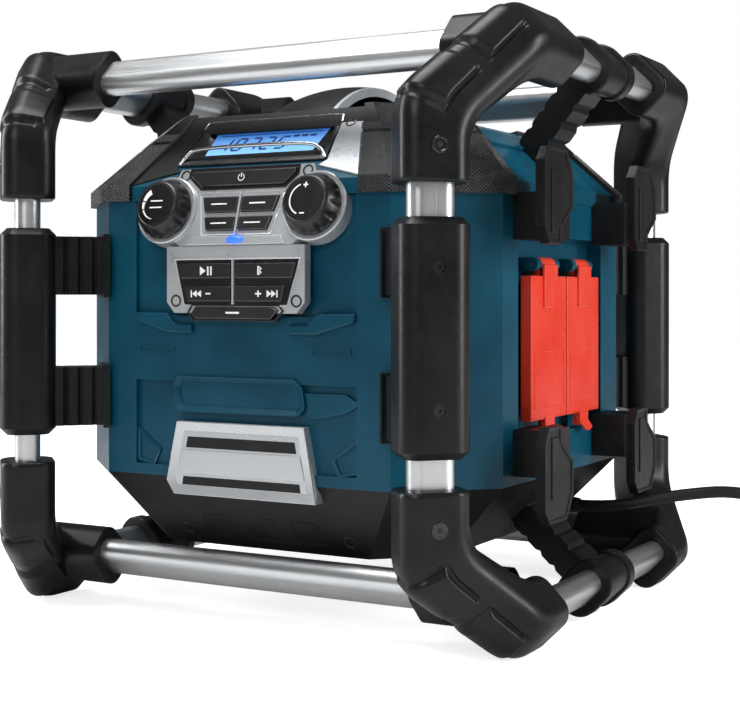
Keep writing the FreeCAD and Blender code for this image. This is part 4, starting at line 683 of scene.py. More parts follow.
FRONT_SIGNS = {
    "play_key": {
        "sign_play": [(-29, 269), (-29, 262.4), (-24, 265.7)],
        "sign_pause_a": box(-22.6, -21.2, 269, 262.4),
        "sign_pause_b": box(-19.8, -18.4, 269, 262.4),
    },
    "pairing_key": {
        "sign_link_a": box(22, 23, 269, 262.4),
        "sign_link_b": [(23, 269), (26, 267), (23, 265.2), (23, 266), (24.6, 267), (23, 268)],
        "sign_link_c": [(23, 266.2), (26, 264.4), (23, 262.4), (23, 263.4), (24.6, 264.4), (23, 265.2)],
    },
    "seek_down_key": {"sign_minus": box(-24, -19.5, 249.4, 248.3)},
    "seek_up_key": {
        "sign_plus": [(20, 249.4), (22, 249.4), (22, 251.2), (23.2, 251.2), (23.2, 249.4), (25.2, 249.4),
                      (25.2, 248.3), (23.2, 248.3), (23.2, 246.5), (22, 246.5), (22, 248.3), (20, 248.3)],
    },
    "source_key": {"sign_mode": box(-6, 6, 235.6, 234.2)},
}
PANEL_SIGNS = {"key_upper_left": (-18, 31.6), "key_upper_right": (16, 31.6), "key_lower_left": (-16, 16.6),
               "key_lower_right": (14, 16.6)}


def make_signs():
    """Generic signs: play and pause, a link, skip back and on, plus and minus, power, and
    plain bars."""
    for body, signs in FRONT_SIGNS.items():
        for name, outline in signs.items():
            mark(name, KEY_PLATE, outline, KEY_PROUD, body)
    for name, body, x, way in (("back", "seek_down_key", -36, 1), ("on", "seek_up_key", 38, -1)):
        for k in range(2):
            tip = x + way * k * 4
            arrow = [(tip, 248.8), (tip + way * 4, 251.4), (tip + way * 4, 246.2)]
            mark("sign_%s_%d" % (name, k), KEY_PLATE, arrow, KEY_PROUD, body)
        stop = box(x - way * 1.4, x - way * 0.4, 251.4, 246.2)
        mark("sign_%s_bar" % name, KEY_PLATE, stop, KEY_PROUD, body)
    inner, outer = 2.6 - 0.35, 2.6 + 0.35
    arc_mark("sign_power", (-2, 52.2), (inner, inner), (outer, outer), 125, 415, KEY_PROUD + 0.12,
             "power_key")
    mark("sign_power_bar", PANEL, box(-2.4, -1.6, 55.6, 52.4), KEY_PROUD, "power_key")
    for name, (x, up) in PANEL_SIGNS.items():
        mark("sign_" + name, PANEL, box(x - 7, x + 7, up + 0.5, up - 0.5), KEY_PROUD, name)


# Sunk screws, from the outer edge to the middle
FRONT_SCREW = [(4.6, -2), (4.6, 0.3), (3.9, 0.6), (3.3, 0.2), (3.1, -1.0), (0.6, -1.2)]
PANEL_SCREW = [(4.4, -2), (4.4, 0.3), (3.7, 0.6), (3.1, 0.2), (2.9, -0.8), (0.5, -1.0)]
CHEEK_SCREW = [(4.2, 0.5), (4.2, 1.9), (3.4, 2.2), (2.9, 1.8), (2.7, 0.9), (0.5, 0.8)]
BASE_SCREW = [(5.4, -1), (5.4, 0.5), (4.4, 0.9), (3.8, 0.5), (3.6, -0.4), (0.6, -0.6)]
ELBOW_SCREW = [(5.6, -0.6), (5.6, 0.3), (5.1, 0.7), (4.5, 0.7), (4.0, 0.25), (2.2, 0.25)]


def make_panel_details():
    """Dark wells round the keys, the dividing bars, the ledge and the panel's screws."""
    frame_ring("power_well", PANEL, inset(POWER_KEY, -2.6), 2.2, -0.6, 0.7, "gloss_black")
    well = [(-38.5, 41), (38.5, 41), (31, 7.5), (-31.5, 7.5)]
    frame_ring("key_well", PANEL, well, 1.6, -0.8, 0.5, "silver", slope=0.6)
    slab("key_divider", PANEL, box(-0.9, 0.9, 40, 8.4), -0.5, 2.4, "silver")
    slab("panel_ledge", PANEL, [(-44, 0.3), (44, 0.3), (40, 7), (-40, 7)], -3, 1.2, "silver", bevel=0.8)
    lower = [(-52.5, 274), (57, 274), (46.5, 240.6), (-44.5, 240.6)]
    slab("front_key_well", KEY_PLATE, lower, -1, 0.35, "gloss_black", bevel=0.3)
    frame_ring("front_key_rim", KEY_PLATE, inset(lower, -1.2), 1.4, -0.5, 1.0, "silver", slope=0.4)
    slab("front_divider", KEY_PLATE, box(-0.9, 0.9, 274, 241), 0.0, 2.2, "silver", bevel=0.4)
    source = [(-38, 240.8), (40, 240.8), (44, 236.2), (36, 228.8), (-36.5, 228.8), (-42, 234.6)]
    frame_ring("source_rim", KEY_PLATE, source, 1.5, -6, 0.9, "gloss_black")
    for k, x in enumerate((-52.5, 54)):
        turned_shape("front_screw_%d" % k, KEY_PLATE, (x, 243.5), FRONT_SCREW, "painted_shade_and_screws", around=28)
    for k, x in enumerate((-54.4, 54.4)):
        turned_shape("panel_screw_%d" % k, PANEL, (x, 56), PANEL_SCREW, "painted_shade_and_screws", around=28)


KNOB_UP = 28.0
KNOB_X = 65.4
KNOB_GRIPS = 12
KNOB_TOP = 16.5
KNOB_BODY = [(16, 2.3), (22.4, 2.3), (22.9, 2.8), (22.9, 5.4), (22.3, 6.0), (22.0, 7.2), (21.4, 9.5),
             (20.4, 12), (19.2, 14.4), (18.4, 15.6), (17.6, 16.3), (16.9, 16.6), (16.4, 16.4),
             (16.2, 15.9), (15.9, 15.8)]
KNOB_FACE = [(16.1, 15.0), (16.1, 16.0), (15.7, 16.25), (0.4, 16.35)]
KNOB_RING = [(26.3, 0.5), (26.3, 2.2), (25.6, 2.75), (24.2, 2.6), (23.6, 2.1), (23.5, 1.9)]


def grip_dents(turn, height):
    """The share of a knob's radius at an angle and a height: dents that deepen towards
    the foot."""
    deep = np.clip((height - 3.0) / 2.0, 0, 1) * np.clip((13.5 - height) / 4.0, 0, 1)
    return 1 - 0.05 * deep * np.clip(np.cos(KNOB_GRIPS * turn) * 2.2 - 1.0, -0.25, 1.0)


def make_knobs():
    """Both knobs, each a flared body with grips and a flat satin face in a glossy collar,
    with their marks, and the silver rings they turn in."""
    for name, x in (("volume", -KNOB_X), ("tuning", KNOB_X)):
        node = name + "_knob"
        knob = turned_shape(node + "_body", PANEL, (x, KNOB_UP), KNOB_BODY, "knob", node, around=144,
                            smooth_to=50, ripple=grip_dents)
        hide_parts(node)
        turned_shape(node + "_face", PANEL, (x, KNOB_UP), KNOB_FACE, "black", node, around=72)
        turned_shape(name + "_ring", PANEL, (x, KNOB_UP), KNOB_RING, "silver", around=96, smooth_to=40)
    place = (-KNOB_X, KNOB_UP)
    arc_mark("volume_mark_high", place, (9.6, 9.0), (12.6, 13.4), 165, 120, KNOB_TOP, "volume_knob")
    arc_mark("volume_mark_mid", place, (10.6, 9.8), (12.3, 12.6), 198, 170, KNOB_TOP, "volume_knob")
    arc_mark("volume_mark_low", place, (11.4, 10.8), (12.0, 12.2), 262, 203, KNOB_TOP, "volume_knob")
    arc_mark("tuning_mark", (KNOB_X, KNOB_UP), (11.2, 11.2), (12.3, 12.3), 248, 112, KNOB_TOP, "tuning_knob")
    for k, up in enumerate((KNOB_UP + 2.6, KNOB_UP - 2.6)):
        line = box(-KNOB_X - 5, -KNOB_X + 6, up + 0.5, up - 0.5)
        mark("volume_line_%d" % k, PANEL, line, KNOB_TOP - 0.05, "volume_knob")
    plus = KNOB_UP + 10.6
    minus = KNOB_UP - 10.6
    strokes = (("plus_a", 2, plus, 0.5, KNOB_TOP), ("minus", 2, minus, 0.5, KNOB_TOP),
               ("plus_b", 0.5, plus, 2, KNOB_TOP + 0.06))
    for name, wide, up, tall, height in strokes:
        outline = box(KNOB_X - wide, KNOB_X + wide, up + tall, up - tall)
        mark("tuning_" + name, PANEL, outline, height, "tuning_knob")


def make_lamp():
    """The status lamp: a clear blue lens, an ellipsoid cut by the panel's face."""
    rings, around = 12, 40
    turn = full_turn(around)
    rise = np.linspace(0.02, math.pi / 2 * 0.97, rings)
    height = 4.2 * np.sin(rise)[:, None] * np.ones(around)
    reach = np.cos(rise)[:, None]
    flat = np.stack([0.5 + 8.2 * reach * np.cos(turn), 3.9 + 3.4 * reach * np.sin(turn), height], axis=-1)
    points = PANEL.at(flat.reshape(-1, 3))
    lens = add_mesh("status_lens", points, closed_faces(rings, around), "lamp", "frame", smooth_to=60)
    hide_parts("status_lamp")


# Display

SEGMENTS = {
    "a": [(0, 1), (1, 1)], "b": [(1, 1), (1, 0.5)], "c": [(1, 0.5), (1, 0)], "d": [(0, 0), (1, 0)],
    "e": [(0, 0.5), (0, 0)], "f": [(0, 1), (0, 0.5)], "g": [(0, 0.5), (1, 0.5)],
}
DIGITS = {"0": "abcdef", "1": "bc", "2": "abged", "5": "afgcd", "7": "abc"}

# Half width, place up the slope and height of the lower and the upper edge
LCD_LOW = (48.8, 11.3, -0.3)
LCD_HIGH = (52.0, 43.6, -3.7)
BEZEL_LOW = (65.4, -0.9, 2.1)
BEZEL_HIGH = (60.6, 49.9, 0.8)
LCD_FOOT = DISPLAY.at((0, LCD_LOW[1], LCD_LOW[2]))[0]
LCD_HEAD = DISPLAY.at((0, LCD_HIGH[1], LCD_HIGH[2]))[0]
LCD = slope_plane(LCD_FOOT, LCD_HEAD)


def make_digits():
    """Seven-segment figures on the screen, as thin slanted bars, with tags and a line."""
    wide, tall, thick, slant = 7.4, 15.0, 1.7, 0.12
    gap = 5.6
    place = -41.0
    foot = 6.0
    proud = 0.35
    for number, digit in enumerate("10725"):
        for stroke in DIGITS[digit]:
            ends = []
            for share_x, share_y in SEGMENTS[stroke]:
                ends.append((place + share_x * wide + share_y * tall * slant, foot + share_y * tall))
            first, last = np.array(ends)
            along = unit(last - first)
            side = np.array([-along[1], along[0]]) * thick / 2
            start = first + along * 0.9
            stop = last - along * 0.9
            outline = [start + side, start - along * 0.6, start - side,
                       stop - side, stop + along * 0.6, stop + side]
            slab("digit_%d_%s" % (number, stroke), LCD, outline, 0.0, proud, "lcd_dark", bevel=0.0)
        place += wide + gap
    for k in range(3):
        x = 22 + k * 7.5
        slab("screen_tag_%d" % k, LCD, box(x, x + 5.4, 20, 22.4), 0.0, proud, "lcd_dark", bevel=0.0)
    slab("screen_line", LCD, box(-46, 46, 25.6, 26.2), 0.0, proud, "lcd_dark", bevel=0.0)


def corner_ring(low, high, grow=0.0, rise=0.0):
    """Four corners across the display from its lower and upper edge, moved outwards and
    raised."""
    low_half, low_up, low_out = low
    high_half, high_up, high_out = high
    lower = [(x, low_up - grow, low_out + rise) for x in (-low_half - grow, low_half + grow)]
    return lower + [(x, high_up + grow, high_out + rise) for x in (high_half + grow, -high_half - grow)]


def both_halves(half):
    """A path across the display from its right half: mirrored, then back to the middle."""
    return [(-x, up, out) for x, up, out in half] + half[::-1]


def make_display():
    """The display: a frame that falls like a funnel from its rim to the screen, the lit
    screen, a wire guard with bent feet and a bright bar along the upper edge."""
    sunk = -5.8
    rings = [
        corner_ring((BEZEL_LOW[0], BEZEL_LOW[1], sunk), (BEZEL_HIGH[0], BEZEL_HIGH[1], sunk)),
        corner_ring(BEZEL_LOW, BEZEL_HIGH),
        corner_ring(BEZEL_LOW, BEZEL_HIGH, -3.2, 0.3),
        corner_ring(LCD_LOW, LCD_HIGH, 3.0, 1.4),
        corner_ring(LCD_LOW, LCD_HIGH, 0.0, 0.9),
        corner_ring(LCD_LOW, LCD_HIGH, -0.6, -1.2),
    ]
    points = DISPLAY.at(np.array(rings).reshape(-1, 3))
    funnel = add_mesh("display_funnel", points, ring_faces(len(rings), 4), "gloss_black", "frame", bevel=0.6)
    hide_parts("display_bezel")
    tall = 32.5
    low, high = LCD_LOW[0], LCD_HIGH[0]
    corners = LCD.at([(-low, 0, 0), (low, 0, 0), (high, tall, 0), (-high, tall, 0)])
    back = corners - LCD.axes[2] * 1.2
    screen = add_mesh("display_glass", np.concatenate([back, corners]), closed_faces(2, 4), "lcd", "frame")
    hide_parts("display_screen")
    cheek = [(62, -7), (100, -19.5), (94, 4), (83, 44), (62, 44), (67, -1)]
    slab("cheek_left", DISPLAY, mirrored(cheek, -1), -1.0, 1.2, "black", bevel=0.6)
    slab("cheek_right", DISPLAY, cheek, -1.0, 1.6, "silver", bevel=0.6)
    turned_shape("cheek_screw", DISPLAY, (71, 39), CHEEK_SCREW, "gloss_black", around=28)
    guard_path = both_halves([(65.2, 0.4, 1.7), (61.3, 6.1, 3.9), (52.1, 10.7, 8.8)])
    guard = wire("guard_wire", DISPLAY.at(guard_path), 0.21)
    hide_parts("display_guard")
    wire("display_bar", DISPLAY.at(both_halves([(62.6, 41.0, 1.0), (61.0, 49.4, 1.4)])), 0.084)
    make_digits()


# Bass port


def make_port():
    """The silver port plate: a sloped border, two slots filled with near-black slabs as painted shade, and a
    bare bar between.
    """
    outline = [(-59, 97.8), (-66, 108), (-56.5, 152.8), (56.5, 152.8), (66.5, 97.8)]
    frame_ring("port_border", PORT, outline, 7.5, -4, 2.4, "silver", slope=2.0, bevel=0.7)
    bar = [(-55.5, 113.5), (-52.5, 131.8), (52.5, 131.8), (56.5, 113.5)]
    slab("port_bar", PORT, bar, -4, 1.0, "silver", bevel=0.8)
    for name, low, high, half in (("upper", 133.2, 141.4, 49), ("lower", 103.4, 111.4, 53)):
        slot = [(-half, low), (half, low), (half - 1.5, high), (-half + 1.5, high)]
        # Painted shade: a near-black slab stands for the depth of each slot
        slab("port_slot_shade_" + name, PORT, slot, -3.5, 0.25, "painted_shade_and_screws", bevel=0.0)


# Front of the body


def make_front_relief():
    """The stepped relief of the front: ledges that the panel stands over, a shelf, grooves
    and side facets, as shallow slabs and borders on the housing."""
    ledge = [(98, 228), (98, 234.6), (66, 234.6), (59, 226.5), (43, 226.5), (43, 219), (66, 219)]
    groove = [(94, 204), (94, 209), (61, 209), (61, 204)]
    facet = [(76, 130), (98, 146), (98, 121), (82, 117)]
    for side, sx in SIDES:
        slab("ledge_" + side, HOUSING, mirrored(ledge, sx), -2, 4.2, "teal", bevel=2.0)
        frame_ring("groove_" + side, HOUSING, mirrored(groove, sx), 0.8, -1, 0.9, "teal")
        frame_ring("side_facet_" + side, HOUSING, mirrored(facet, sx), 2.2, -5, -1.8, "teal", slope=1.2,
                   bevel=0.5)
    shelf = [(-62, 180), (-57, 187), (47, 187), (54, 180), (56, 166), (50, 160), (-57, 160), (-60, 166)]
    slab("shelf_shadow", HOUSING, inset(shelf, 1.0), -5, -1.6, "teal", bevel=0.8)
    frame_ring("shelf_rim", HOUSING, shelf, 5.0, -5, 2.8, "teal", slope=4.0, bevel=1.2)
    arrow = [(54, 177), (88, 177), (100, 170), (88, 163), (62, 158), (56, 160)]
    slab("side_arrow_right", HOUSING, arrow, -5, -0.6, "teal", bevel=1.2)


# The base's front slopes from a foot (depth, height) out to a head
BASE_FOOT = (140.0, 55.0)
BASE_HEAD = (174.0, 110.5)


def make_base_details():
    """Shallow panels and screw wells on the front of the base."""
    run = BASE_HEAD[0] - BASE_FOOT[0]
    rise = BASE_HEAD[1] - BASE_FOOT[1]
    up = np.array([0.0, -run, rise]) / math.hypot(run, rise)
    out = np.array([0.0, -rise, -run]) / math.hypot(run, rise)
    plane = Plane((0, -BASE_FOOT[0], BASE_FOOT[1]), RIGHT, up, out)
    for k, x in enumerate((-38, 2, 42)):
        outline = [(x - 15, 8), (x + 15, 8), (x + 12, 30), (x - 12, 30)]
        frame_ring("base_panel_%d" % k, plane, outline, 1.6, -1, 0.5, "black", slope=0.3)
    for k, x in enumerate((-66, 78)):
        turned_shape("base_screw_%d" % k, plane, (x, 15), BASE_SCREW, "black", around=28)


# Corner grilles

GRILLE_OUT = 3.1
WEAVE_PITCH = 2.7


def ring_corner(half, height, lift):
    """Corner points of the roof's octagon at a height, moved out by the grille's thickness:
    the front corner and the side corner."""
    hx, hy, fx, fy = half
    span = math.hypot(hx - fx, hy - fy)
    a = (hy - fy) / span
    b = (hx - fx) / span
    grow = GRILLE_OUT * (0.5 if lift == 1.0 else 1.0)
    front = np.array([fx + grow * (1 - b) / a, hy + grow, height + GRILLE_OUT * lift])
    side = np.array([hx + grow, fy + grow * (1 - a) / b, height + GRILLE_OUT * lift])
    return front, side


def weave(quad, pitch=WEAVE_PITCH, high=0.55, wide=0.95):
    """A woven mesh over a four-cornered patch: two sets of diagonal ribs, each a ridge of
    triangular section, from the patch's bilinear formula."""
    corner = np.array(quad, float)
    long_a = (np.linalg.norm(corner[1] - corner[0]) + np.linalg.norm(corner[2] - corner[3])) / 2
    long_b = (np.linalg.norm(corner[3] - corner[0]) + np.linalg.norm(corner[2] - corner[1])) / 2
    normal = unit(np.cross(corner[1] - corner[0], corner[3] - corner[0]))
    if normal[2] < -0.01 or (abs(normal[2]) <= 0.01 and normal @ corner.mean(axis=0) < 0):
        normal = -normal

    def at(a, b):
        u = (a / long_a)[:, None]
        v = (b / long_b)[:, None]
        near = corner[0] * (1 - u) * (1 - v) + corner[1] * u * (1 - v)
        return near + corner[2] * u * v + corner[3] * (1 - u) * v

    shift = np.arange(-long_b + pitch / 2, long_a, pitch)
    rows = []
    for mirror in (False, True):
        first = np.maximum(shift, 0.0)
        last = np.minimum(shift + long_b, long_a)
        keep = last - first > 0.5
        a0, a1 = first[keep], last[keep]
        b0, b1 = a0 - shift[keep], a1 - shift[keep]
        if mirror:
            a0, a1 = long_a - a0, long_a - a1
        start = at(a0, b0)
        stop = at(a1, b1)
        across = np.cross(unit(stop - start), normal) * wide / 2
        lift = normal * (high if not mirror else high * 0.9)
        ridge = [start - across, start + lift, start + across, stop - across, stop + lift, stop + across]
        rows.append(np.stack(ridge, axis=1))
    points = np.concatenate(rows).reshape(-1, 3)
    base = np.arange(len(points) // 6)[:, None] * 6
    left = base + np.array([[0, 1, 4, 3]])
    right = base + np.array([[1, 2, 5, 4]])
    return points, np.concatenate([left, right]).tolist()


def make_grilles():
    """The woven face of every corner grille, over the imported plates."""
    eave_front, eave_side = ring_corner(EAVE_HALF, EAVE_Z, 0.4)
    tier_front, tier_side = ring_corner(TIER_HALF, TIER_Z, 0.7)
    top_front, top_side = ring_corner(TOP_HALF, TOP_Z, 1.0)
    eave_strip = np.array([EAVE_HALF[2] - 23.5, eave_front[1], eave_front[2]])
    tier_strip = np.array([TIER_HALF[2] - 14.5, tier_front[1], tier_front[2]])
    eave_run = np.array([eave_side[0], EAVE_HALF[3] - 13.5, eave_side[2]])
    tier_run = np.array([tier_side[0], TIER_HALF[3] - 5.5, tier_side[2]])
    skirt_z = EAVE_Z - 11.0
    skirt_front, skirt_side, skirt_strip, skirt_run = [
        np.array([spot[0], spot[1], skirt_z]) for spot in (eave_front, eave_side, eave_strip, eave_run)]
    # The lower slope is woven up to the seam, and again from just over it to the tier
    under, over = 0.8, 0.8 + 0.06
    top = 0.92
    panels = [
        (eave_strip, eave_front, toward(eave_front, tier_front, under),
         toward(eave_strip, tier_strip, under)),
        (eave_front, eave_side, toward(eave_side, tier_side, under), toward(eave_front, tier_front, under)),
        (eave_side, eave_run, toward(eave_run, tier_run, under), toward(eave_side, tier_side, under)),
        (toward(eave_front, tier_front, over), toward(eave_side, tier_side, over), tier_side, tier_front),
        (toward(eave_strip, tier_strip, over), toward(eave_front, tier_front, over), tier_front, tier_strip),
        (tier_front, tier_side, toward(tier_side, top_side, top), toward(tier_front, top_front, top)),
        (skirt_strip, skirt_front, eave_front, eave_strip),
        (skirt_front, skirt_side, eave_side, eave_front),
        (skirt_side, skirt_run, eave_run, eave_side),
    ]
    for (end, sy), (side, sx) in product(ENDS, SIDES):
        flip = np.array([sx, sy, 1.0])
        points = []
        faces = []
        count = 0
        for panel in panels:
            spots, quads = weave([corner * flip for corner in panel])
            points.append(spots)
            faces += (np.array(quads) + count).tolist()
            count += len(spots)
        add_mesh("weave_%s_%s" % (end, side), np.concatenate(points), faces, "weave", "frame", smooth_to=20)


# Cage elbows

POST = np.array([175.0, 211.0])
SIDE_X, CROSS_Y = 211.0, 153.0
ELBOW_WIDE, ELBOW_DEEP, ELBOW_ROUND = 48.0, 41.0, 13.0
BRANCH_WIDE, BRANCH_DEEP, BRANCH_ROUND = 43.0, 36.0, 12.0
TUBE_WIDE, TUBE_DEEP, TUBE_ROUND = 32.6, 19.6, 8.8
MOUTH_TOP, BEND_TOP, SIDE_TOP, RING_TOP, CROSS_TOP = 321.0, 369.5, 422.0, 91.0, 420.0
MOUTH_LOW, BEND_LOW, SIDE_LOW, RING_LOW, CROSS_LOW = 120.5, 72.0, 26.08, 121.0, 40.0
BRANCH_NEAR, BRANCH_FAR = 163.0, 139.0
BEND_SWEEP = 17.0
SCREW_RAISE = 24.25
PAD_HIGH = 1.9
GROOVE_DEEP = 1.6
# Shares of the neck that the two pads take up
PAD_RUNS = ((0.04, 0.42), (0.54, 0.93))
SOCKET_DEEP = 9.0


def oval(turn, wide=ELBOW_WIDE, deep=ELBOW_DEEP, corner=ELBOW_ROUND):
    """Points of a rounded rectangle, by angle: the ray's meeting with the straight sides or
    with the corner arcs."""
    c, s = np.cos(turn), np.sin(turn)
    half_w, half_d = wide / 2, deep / 2
    flat = np.minimum(half_w / np.maximum(np.abs(c), 1e-9), half_d / np.maximum(np.abs(s), 1e-9))
    mid_w, mid_d = half_w - corner, half_d - corner
    along = np.abs(c) * mid_w + np.abs(s) * mid_d
    gap = mid_w ** 2 + mid_d ** 2 - corner ** 2
    arc = along + np.sqrt(np.maximum(along ** 2 - gap, 0))
    in_corner = (flat * np.abs(c) > mid_w) & (flat * np.abs(s) > mid_d)
    reach = np.where(in_corner, arc, flat)
    return np.stack([reach * c, reach * s], axis=-1)


def step_up(value, low, high):
    """0 below the low value, 1 above the high one, with a smooth climb between."""
    share = np.clip((value - low) / (high - low), 0, 1)
    return share * share * (3 - 2 * share)


def box_share(value, low, high, soft):
    """1 between two values, falling smoothly to 0 on both sides."""
    return step_up(value, low, low + soft) * (1 - step_up(value, high - soft, high))


def face_out(points, faces, centre):
    """The faces, turned where most of them would look towards the centre line."""
    quad = points[np.array(faces)]
    normal = np.cross(quad[:, 1] - quad[:, 0], quad[:, 2] - quad[:, 0])
    away = quad.mean(axis=1) - centre[np.array(faces)].mean(axis=1)
    return reverse(faces) if np.sum(normal * away) < 0 else faces


def rounded_line(start, first, second, stop):
    """Rows of points from a start past two knots to a stop, for every angle round the
    section; the line is rounded at each knot by a parabola."""
    def near(knot, other):
        span = np.linalg.norm(other - knot, axis=-1, keepdims=True)
        return toward(knot, other, np.minimum(BEND_SWEEP / span, 0.46))

    places = [start, near(first, start), near(first, second), near(second, first), near(second, stop), stop]
    knots = [None, first, None, second, None]
    steps = [10, 18, 46, 18, 12]
    rows = []
    for begin, end, knot, count in zip(places[:-1], places[1:], knots, steps):
        share = np.linspace(0, 1, count, endpoint=False)[:, None, None]
        if knot is None:
            rows.append(toward(begin, end, share))
        else:
            rows.append(begin * (1 - share) ** 2 + knot * 2 * share * (1 - share) + end * share ** 2)
    rows.append(stop[None])
    return np.concatenate(rows)


def elbow_shell(sx, sy, sz):
    """An elbow's skin: every angle round the section has its own line from the mouth over
    the bend and the corner to the ring. The neck carries two raised pads on one side, each
    with a sunk groove beside it."""
    top = sz > 0
    bend_z, side_z = (BEND_TOP, SIDE_TOP) if top else (BEND_LOW, SIDE_LOW)
    mouth_z, ring_y = (MOUTH_TOP, RING_TOP) if top else (MOUTH_LOW, RING_LOW)
    up = np.array([0.0, 0.0, sz])
    along = np.array([0.0, -sy, 0.0])
    bend = np.array([sx * POST[0], sy * POST[1], bend_z])
    corner = np.array([sx * SIDE_X, sy * CROSS_Y, side_z])
    neck = unit(corner - bend)
    # The ways of a section's width and depth, at the post and at the side rail
    post_ways = np.array([[sx, -sy, 0.0], [sx, sy, 0.0]]) / math.sqrt(2)
    rail_ways = np.array([[sx, 0.0, -sz], [sx, 0.0, sz]]) / math.sqrt(2)
    turn = full_turn(144)
    flat = oval(turn)

    def section(centre, ways, way):
        """The section at a knot, cut by the plane that halves the bend."""
        points = flat @ ways
        normal = way + neck
        return centre + points - ((points @ normal) / (way @ normal))[:, None] * way

    at_bend = section(bend, post_ways, up)
    at_corner = section(corner, rail_ways, along)
    at_mouth = at_bend.copy()
    at_mouth[:, 2] = mouth_z
    at_ring = at_corner.copy()
    at_ring[:, 1] = sy * ring_y
    mouth = np.array([bend[0], bend[1], mouth_z])
    ring = np.array([corner[0], sy * ring_y, side_z])
    skin = rounded_line(at_mouth, at_bend, at_corner, at_ring)
    spine = rounded_line(*[np.tile(place, (len(turn), 1)) for place in (mouth, bend, corner, ring)])
    reach = np.einsum("ijk,k->ij", spine - bend, neck) / np.linalg.norm(corner - bend)
    angle = np.degrees(turn)[None, :]
    rise = np.zeros_like(reach)
    for low, high in PAD_RUNS:
        rise += PAD_HIGH * box_share(reach, low, high, 0.03) * box_share(angle, 88, 204, 3.0)
        edge = box_share(reach, low - 0.05, high, 0.02) * box_share(angle, 78, 88, 2.5)
        end = box_share(reach, low - 0.055, low, 0.02) * box_share(angle, 80, 190, 3.0)
        rise -= GROOVE_DEEP * np.maximum(edge, end)
    skin = skin + unit(skin - spine) * rise[..., None]

    bore = oval(turn, TUBE_WIDE, TUBE_DEEP, TUBE_ROUND)
    lips = []
    for end, way, ways in ((0, -up, post_ways), (-1, along, rail_ways)):
        middle = spine[end]
        rim = skin[end] - middle
        size = np.linalg.norm(rim, axis=1, keepdims=True)
        hole = middle + bore @ ways
        lips.append([hole - way * SOCKET_DEEP, hole, hole + way * 0.2 + rim / size * 0.3,
                     middle + rim * (1 - 2.6 / size), middle + rim * (1 - 1.0 / size) - way * 0.35])
        skin[end] = middle + rim - way * 1.5
    rings = np.concatenate([np.array(lips[0]), skin, np.array(lips[1])[::-1]])
    extra = len(lips[0])
    spines = np.concatenate([np.repeat(spine[:1], extra, axis=0), spine,
                             np.repeat(spine[-1:], extra, axis=0)])
    points = rings.reshape(-1, 3)
    return points, face_out(points, ring_faces(len(rings), len(turn)), spines.reshape(-1, 3))


def branch_shell(sx, sy, sz, mouth):
    """The branch that grips a cross rail: a straight sleeve with a bore and a chamfered
    mouth."""
    height = CROSS_TOP if sz > 0 else CROSS_LOW
    ways = np.array([[0.0, -sy, sz], [0.0, sy, sz]]) / math.sqrt(2)
    turn = full_turn(72)
    bore = oval(turn, TUBE_WIDE, TUBE_DEEP, TUBE_ROUND)
    sections = [(mouth + SOCKET_DEEP, bore), (mouth, bore)]
    for x, grow in ((mouth, -1.4), (mouth + 1.4, 0.0), (SIDE_X - 2, 0.0)):
        sections.append((x, oval(turn, BRANCH_WIDE + 2 * grow, BRANCH_DEEP + 2 * grow, BRANCH_ROUND + grow)))
    points = np.concatenate([np.array([sx * x, sy * CROSS_Y, height]) + flat @ ways for x, flat in sections])
    centre = points.copy()
    centre[:, 1:] = (sy * CROSS_Y, height)
    return points, face_out(points, ring_faces(len(sections), len(turn)), centre)


def make_elbows():
    """All eight elbows, each a skin and a branch in one piece, with the cage's screw."""
    for (level, sz), (end, sy), (side, sx) in product(LEVELS, ENDS, SIDES):
        mouth = BRANCH_NEAR if sz > 0 and sx * sy < 0 else BRANCH_FAR
        points, faces = elbow_shell(sx, sy, sz)
        more, extra = branch_shell(sx, sy, sz, mouth)
        faces = faces + (np.array(extra) + len(points)).tolist()
        name = "elbow_%s_%s_%s" % (level, end, side)
        skin = add_mesh(name + "_skin", np.concatenate([points, more]), faces, "rubber", "frame",
                        smooth_to=42)
        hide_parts(name)
        way = np.array([sx, sy, 0.0]) / math.sqrt(2)
        height = BEND_TOP - SCREW_RAISE if sz > 0 else BEND_LOW + SCREW_RAISE
        centre = np.array([sx * POST[0], sy * POST[1], height]) + way * ELBOW_DEEP / 2
        seat = Plane(centre, np.cross(UP, way), UP, way)
        turned_shape(name + "_screw", seat, (0, 0), ELBOW_SCREW, "gloss_black", around=32)
        # Painted shade: a near-black hexagon stands for the screw's socket
        turned_shape(name + "_socket_shade", seat, (0, 0), [(2.1, -0.2), (2.1, 0.32)], "painted_shade_and_screws", around=6)


# Right side: covers and cleats

COVER_AXIS_X = 184.0
COVER_AXIS_Z = 271.0
KNUCKLE = [(1.7, -12.9), (4.7, -12.9), (5.2, -12.3), (5.2, 12.3), (4.7, 12.9), (1.7, 12.9)]


